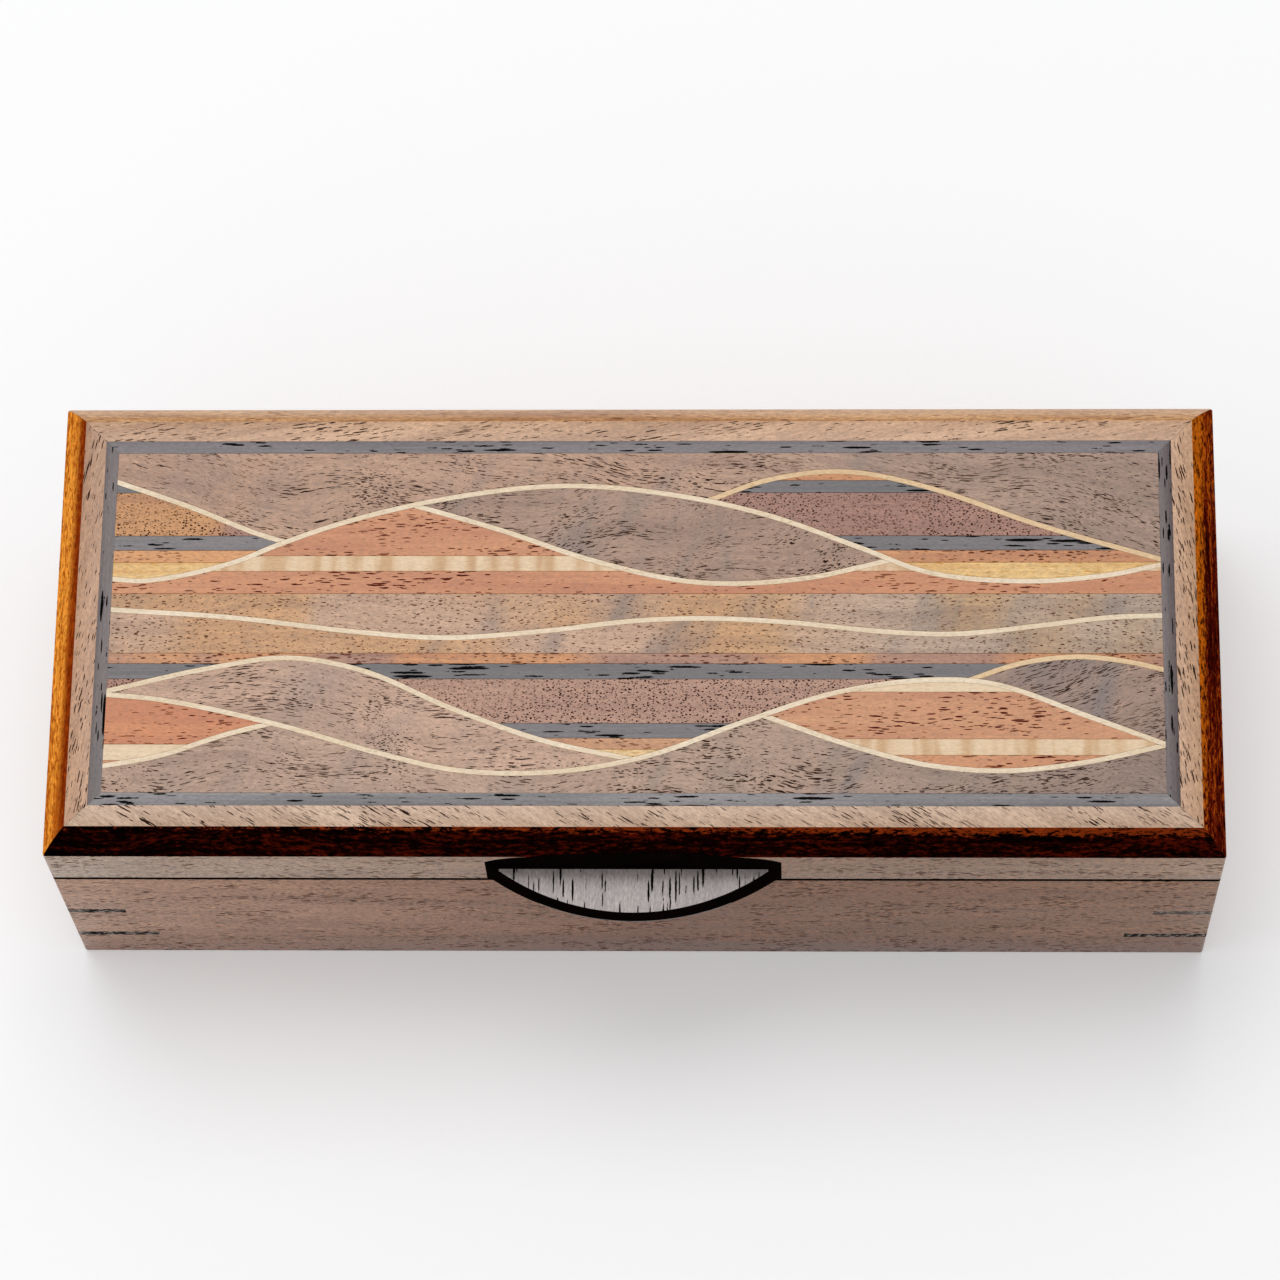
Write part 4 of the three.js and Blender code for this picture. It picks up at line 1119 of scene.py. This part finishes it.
def add_marquetry():
    striped = "striped_wood"
    back, front = level(EDGE_Y - HAIR), level(-EDGE_Y + HAIR)
    plain("upper_walnut_field", [back],
          [behind(LEFT_FALL), behind(LONG_CREST), behind(RIGHT_CREST)], 31, turn=8,
          along=((-117, (1.0, 0.98, 0.94)), (0, (1.02, 1.0, 0.98)), (60, (0.84, 0.88, 0.93)),
                 (117, (0.74, 0.78, 0.87))))
    laminated("upper_left_lamination", striped, STRIPED_UPPER, [before(LEFT_FALL)], [behind(LONG_CREST)], 33,
              end=-78.5, brown=dict(glow=(ORANGE_GLOW, 20.0)))
    laminated("upper_mahogany_lamination", "mahogany", RED_UPPER,
              [before(LONG_CREST), before(CENTRE_HOLLOW)], [level(UPPER_SEAM + HAIR)], 41)
    plain("upper_walnut_lens", [before(LONG_CREST)], [behind(CENTRE_HOLLOW)], 45,
          turn=-4, start=-50, end=57, colour=(0.360, 0.205, 0.130))
    laminated("upper_right_lamination", striped, STRIPED_UPPER, [before(RIGHT_CREST)], [behind(LONG_CREST)],
              47, start=16)
    band = dict(colour=(0.54, 0.325, 0.20), glow=(TAN_GLOW, 40.0), wander=(7.0, 0.03), smoke=0.9,
                pores=((2.0, 0.52, 0.225, 1.0), (1.3, 0.44, 0.21, 1.0)), pore_tone=(0.12, 0.040, 0.020),
                evenly=0.5)
    fading = ((-117, (1.0, 0.99, 0.98)), (10, (0.99, 0.98, 0.98)), (60, (0.88, 0.98, 1.08)),
              (117, (0.80, 0.95, 1.10)))
    plain("middle_walnut_back", [level(UPPER_SEAM - HAIR)],
          [behind(MIDDLE_RIPPLE)], 53, along=fading, **band)
    plain("middle_walnut_front", [before(MIDDLE_RIPPLE)],
          [level(LOWER_SEAM + HAIR)], 55, along=fading, **band)
    plain("lower_edge_strip", [level(LOWER_SEAM - HAIR)],
          [level(STRIP_SEAM + HAIR, -EDGE, CENTRE_END), behind(LEFT_CREST), behind(FAR_CREST)], 57,
          slot=striped, kind="orange", glow=(PURPLE_GLOW, 30.0))
    laminated("lower_left_lamination", striped, STRIPED_LOWER[:2], [level(EDGE_Y)], [behind(LEFT_CREST)], 59,
              end=CENTRE_START)
    laminated("lower_centre_lamination", striped, STRIPED_LOWER, [level(EDGE_Y)],
              [behind(LEFT_CREST), behind(LONG_TROUGH), behind(FAR_CREST)], 61, CENTRE_START, CENTRE_END,
              brown=dict(colour=(0.41, 0.21, 0.135)), yellow=dict(colour=(0.79, 0.55, 0.22)),
              orange=dict(colour=(0.55, 0.26, 0.11)))
    plain("lower_walnut_lens", [before(LEFT_CREST)], [behind(LONG_TROUGH)], 67,
          turn=3, end=0, colour=(0.53, 0.32, 0.21))
    laminated("lower_left_mahogany_lamination", "mahogany", RED_LEFT, [before(LONG_TROUGH)],
              [behind(LEFT_RISE)], 69, end=-80, back=dict(colour=(0.58, 0.190, 0.055)))
    laminated("lower_right_mahogany_lamination", "mahogany", RED_RIGHT, [before(LONG_TROUGH)],
              [behind(RIGHT_HOLLOW)], 73, start=28.5, back=dict(colour=(0.60, 0.260, 0.105)))
    plain("lower_right_walnut", [before(FAR_CREST)], [behind(LONG_TROUGH)], 79,
          turn=-10, start=74, colour=(0.30, 0.175, 0.120))
    plain("lower_walnut_field",
          [before(LONG_TROUGH), before(LEFT_RISE), before(RIGHT_HOLLOW)], [front], 81,
          colour=(0.46, 0.28, 0.185),
          along=((-117, (1.0, 1.0, 1.0)), (30, (0.88, 0.89, 0.9)), (117, (0.54, 0.55, 0.6))))

    maple = wood("stringing_maple", "stringing", seed=90)
    golden = wood("stringing_golden", "stringing", seed=91, colour=(0.74, 0.50, 0.26))
    string("upper_stringing", 1, LONG_CREST, maple)
    string("upper_stringing", 2, LEFT_FALL, maple, fronts=[behind(LONG_CREST)])
    string("upper_stringing", 3, CENTRE_HOLLOW, maple, backs=[before(LONG_CREST)])
    string("upper_stringing", 4, RIGHT_CREST, golden, fronts=[behind(LONG_CREST)])
    string("middle_stringing", 1, MIDDLE_RIPPLE, maple)
    string("lower_stringing", 1, LONG_TROUGH, maple)
    string("lower_stringing", 2, LEFT_CREST, maple, fronts=[behind(LONG_TROUGH)])
    string("lower_stringing", 3, LEFT_RISE, maple, backs=[before(LONG_TROUGH)])
    string("lower_stringing", 4, RIGHT_HOLLOW, maple, backs=[before(LONG_TROUGH)])
    string("lower_stringing", 5, FAR_CREST, golden, fronts=[behind(LONG_TROUGH)])


# ---------------- hinges

# Each leaf's owner: which way is into its wood, the height of the leaf's outer face, and its body.
OWNERS = {"body": (-1, BODY_HEIGHT, "box_body"), "lid": (1, LID_BOTTOM, "lid")}
LEAF_THICKNESS = 1.2 * MM
LEAF_CORNER = 0.7 * MM
KNUCKLE_COUNT = 5
KNUCKLE_GAP = 0.2 * MM
KNUCKLE_EASED = 0.16 * MM
BORE = 0.95 * MM
HEAD_RADIUS = 2.0 * MM
HEAD_DEPTH = 1.0 * MM
HEAD_EASED = 0.1 * MM
HEAD_SINK = 0.04 * MM
SHANK_RADIUS = 1.0 * MM
SINK_SLACK = 0.06 * MM
TIP_RADIUS = 0.15 * MM
TIP_LENGTH = 1.2 * MM
SLOT_WIDTH = 0.5 * MM
SLOT_DEPTH = 0.45 * MM
SLOT_TURNS = (12, 78, -35, 55)
# The pin's rounded ends, as (radius, distance in), both as shares of its radius.
PIN_DOME = ((0.35, 0.0), (0.68, 0.10), (0.9, 0.26), (1.0, 0.5))
ALONG_X = Matrix.Rotation(math.radians(90), 4, "Y")


def mortises(owner):
    """The beds of one owner's two leaves, as tools to cut its back board with."""
    up, face, _ = OWNERS[owner]
    heights = sorted((face - up * MM, face + up * (LEAF_THICKNESS + SLIP)))
    tools = []
    for side in ("left", "right"):
        low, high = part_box(f"hinge_{side}_{owner}_leaf")
        outline = rectangle(low.x - SLIP, low.y - SLIP, high.x + SLIP, BACK + MM)
        tools.append(prism("mortise", outline, *heights, None))
    return tools


def knuckle_barrel(low, high, index, axis):
    """One knuckle, its ends a little eased, on the hinge's axis, with its centre and half length."""
    pitch = (high.x - low.x) / KNUCKLE_COUNT
    centre = low.x + (index + 0.5) * pitch
    half = (pitch - KNUCKLE_GAP) / 2
    outer = high.y - axis.y
    inner = outer - KNUCKLE_EASED
    shoulder = half - KNUCKLE_EASED
    profile = [(inner, -half), (outer, -shoulder), (outer, shoulder), (inner, half)]
    place = Matrix.Translation((centre, axis.y, axis.z)) @ ALONG_X
    return lathe("knuckle", profile, None, place), centre, half


def screw_place(side, owner, number):
    """Stands a turned piece with its head on a leaf's face, pointing into the wood."""
    up, face, _ = OWNERS[owner]
    low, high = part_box(f"hinge_{side}_{owner}_screw_{number}")
    centre = (low + high) / 2
    turn = Matrix.Rotation(math.radians(180 if up > 0 else 0), 4, "X")
    return Matrix.Translation((centre.x, centre.y, face)) @ turn


def add_leaf(side, owner, axis, metal):
    """A leaf with its own knuckles on the pin, and countersinks for two screws."""
    up, face, body = OWNERS[owner]
    low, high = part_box(f"hinge_{side}_{owner}_leaf")
    heights = sorted((face, face + up * LEAF_THICKNESS))
    outline = fillet(rectangle(low.x, low.y, high.x, BACK), [LEAF_CORNER, LEAF_CORNER, 0, 0])
    leaf = prism(f"hinge_{side}_{owner}_plate", outline, *heights, metal)
    joined = []
    for index in range(1 if owner == "lid" else 0, KNUCKLE_COUNT, 2):
        barrel, centre, half = knuckle_barrel(low, high, index, axis)
        tongue = rectangle(centre - half, BACK - LEAF_CORNER, centre + half, axis.y)
        joined += [barrel, prism("tongue", tongue, *heights, None)]
    carved(leaf, joined, "UNION")
    length = high.x - low.x
    middle = Matrix.Translation(((low.x + high.x) / 2, axis.y, axis.z))
    bore = lathe("bore", [(BORE, -length), (BORE, length)], None, middle @ ALONG_X)
    shank, head = SHANK_RADIUS + SINK_SLACK, HEAD_RADIUS + SINK_SLACK
    profile = [(shank, -2 * LEAF_THICKNESS), (shank, -HEAD_DEPTH), (head, 0), (head, MM)]
    sinks = [lathe("sink", profile, None, screw_place(side, owner, number)) for number in (1, 2)]
    carved(leaf, [bore, *sinks])
    belongs(leaf, body, "brass", f"hinge_{side}_{owner}_leaf")


def add_screw(side, owner, number, metal):
    """A slotted countersunk screw, sunk a hair under its leaf's face."""
    up, _, body = OWNERS[owner]
    low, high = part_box(f"hinge_{side}_{owner}_screw_{number}")
    length = high.z - low.z
    profile = [(TIP_RADIUS, HEAD_SINK - length), (SHANK_RADIUS, TIP_LENGTH - length),
               (SHANK_RADIUS, -HEAD_DEPTH), (HEAD_RADIUS, -HEAD_EASED), (HEAD_RADIUS - HEAD_EASED / 2, 0),
               (HEAD_RADIUS - 4 * HEAD_EASED, 0.3 * HEAD_EASED)]
    sunk = Matrix.Translation((0, 0, -HEAD_SINK))
    screw = lathe(f"hinge_{side}_{owner}_fastener_{number}", profile, metal, sunk)
    half = HEAD_RADIUS + MM
    slot = rectangle(-half, -SLOT_WIDTH / 2, half, SLOT_WIDTH / 2)
    carved(screw, [prism("slot", slot, -SLOT_DEPTH, MM, None)])
    turn = SLOT_TURNS[(number + (2 if side == "right" else 0) + up) % len(SLOT_TURNS)]
    screw.data.transform(screw_place(side, owner, number) @ Matrix.Rotation(math.radians(turn), 4, "Z"))
    belongs(screw, body, "brass", f"hinge_{side}_{owner}_screw_{number}")


def add_hinges():
    metal = brass()
    for side in ("left", "right"):
        low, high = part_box(f"hinge_{side}_pin")
        axis = (low + high) / 2
        for owner in OWNERS:
            add_leaf(side, owner, axis, metal)
            for number in (1, 2):
                add_screw(side, owner, number, metal)
        radius, half = (high.z - low.z) / 2, (high.x - low.x) / 2
        profile = [(radius * r, -half + t * radius) for r, t in PIN_DOME]
        profile += [(radius * r, half - t * radius) for r, t in reversed(PIN_DOME)]
        pin = lathe(f"hinge_{side}_rod", profile, metal, Matrix.Translation(axis) @ ALONG_X)
        belongs(pin, "box_body", "brass", f"hinge_{side}_pin")


# ---------------- stage


def add_floor():
    bpy.ops.mesh.primitive_grid_add(x_subdivisions=8, y_subdivisions=8, size=FLOOR_SIZE)
    floor = bpy.context.object
    floor.name = "floor"
    floor.location = (CENTRE.x, CENTRE.y, 0)
    floor.data.materials.append(paper())


add_camera()
add_lights()
add_floor()
add_body()
add_lining()
add_lid_frame()
add_tab()
add_border()
add_marquetry()
add_hinges()
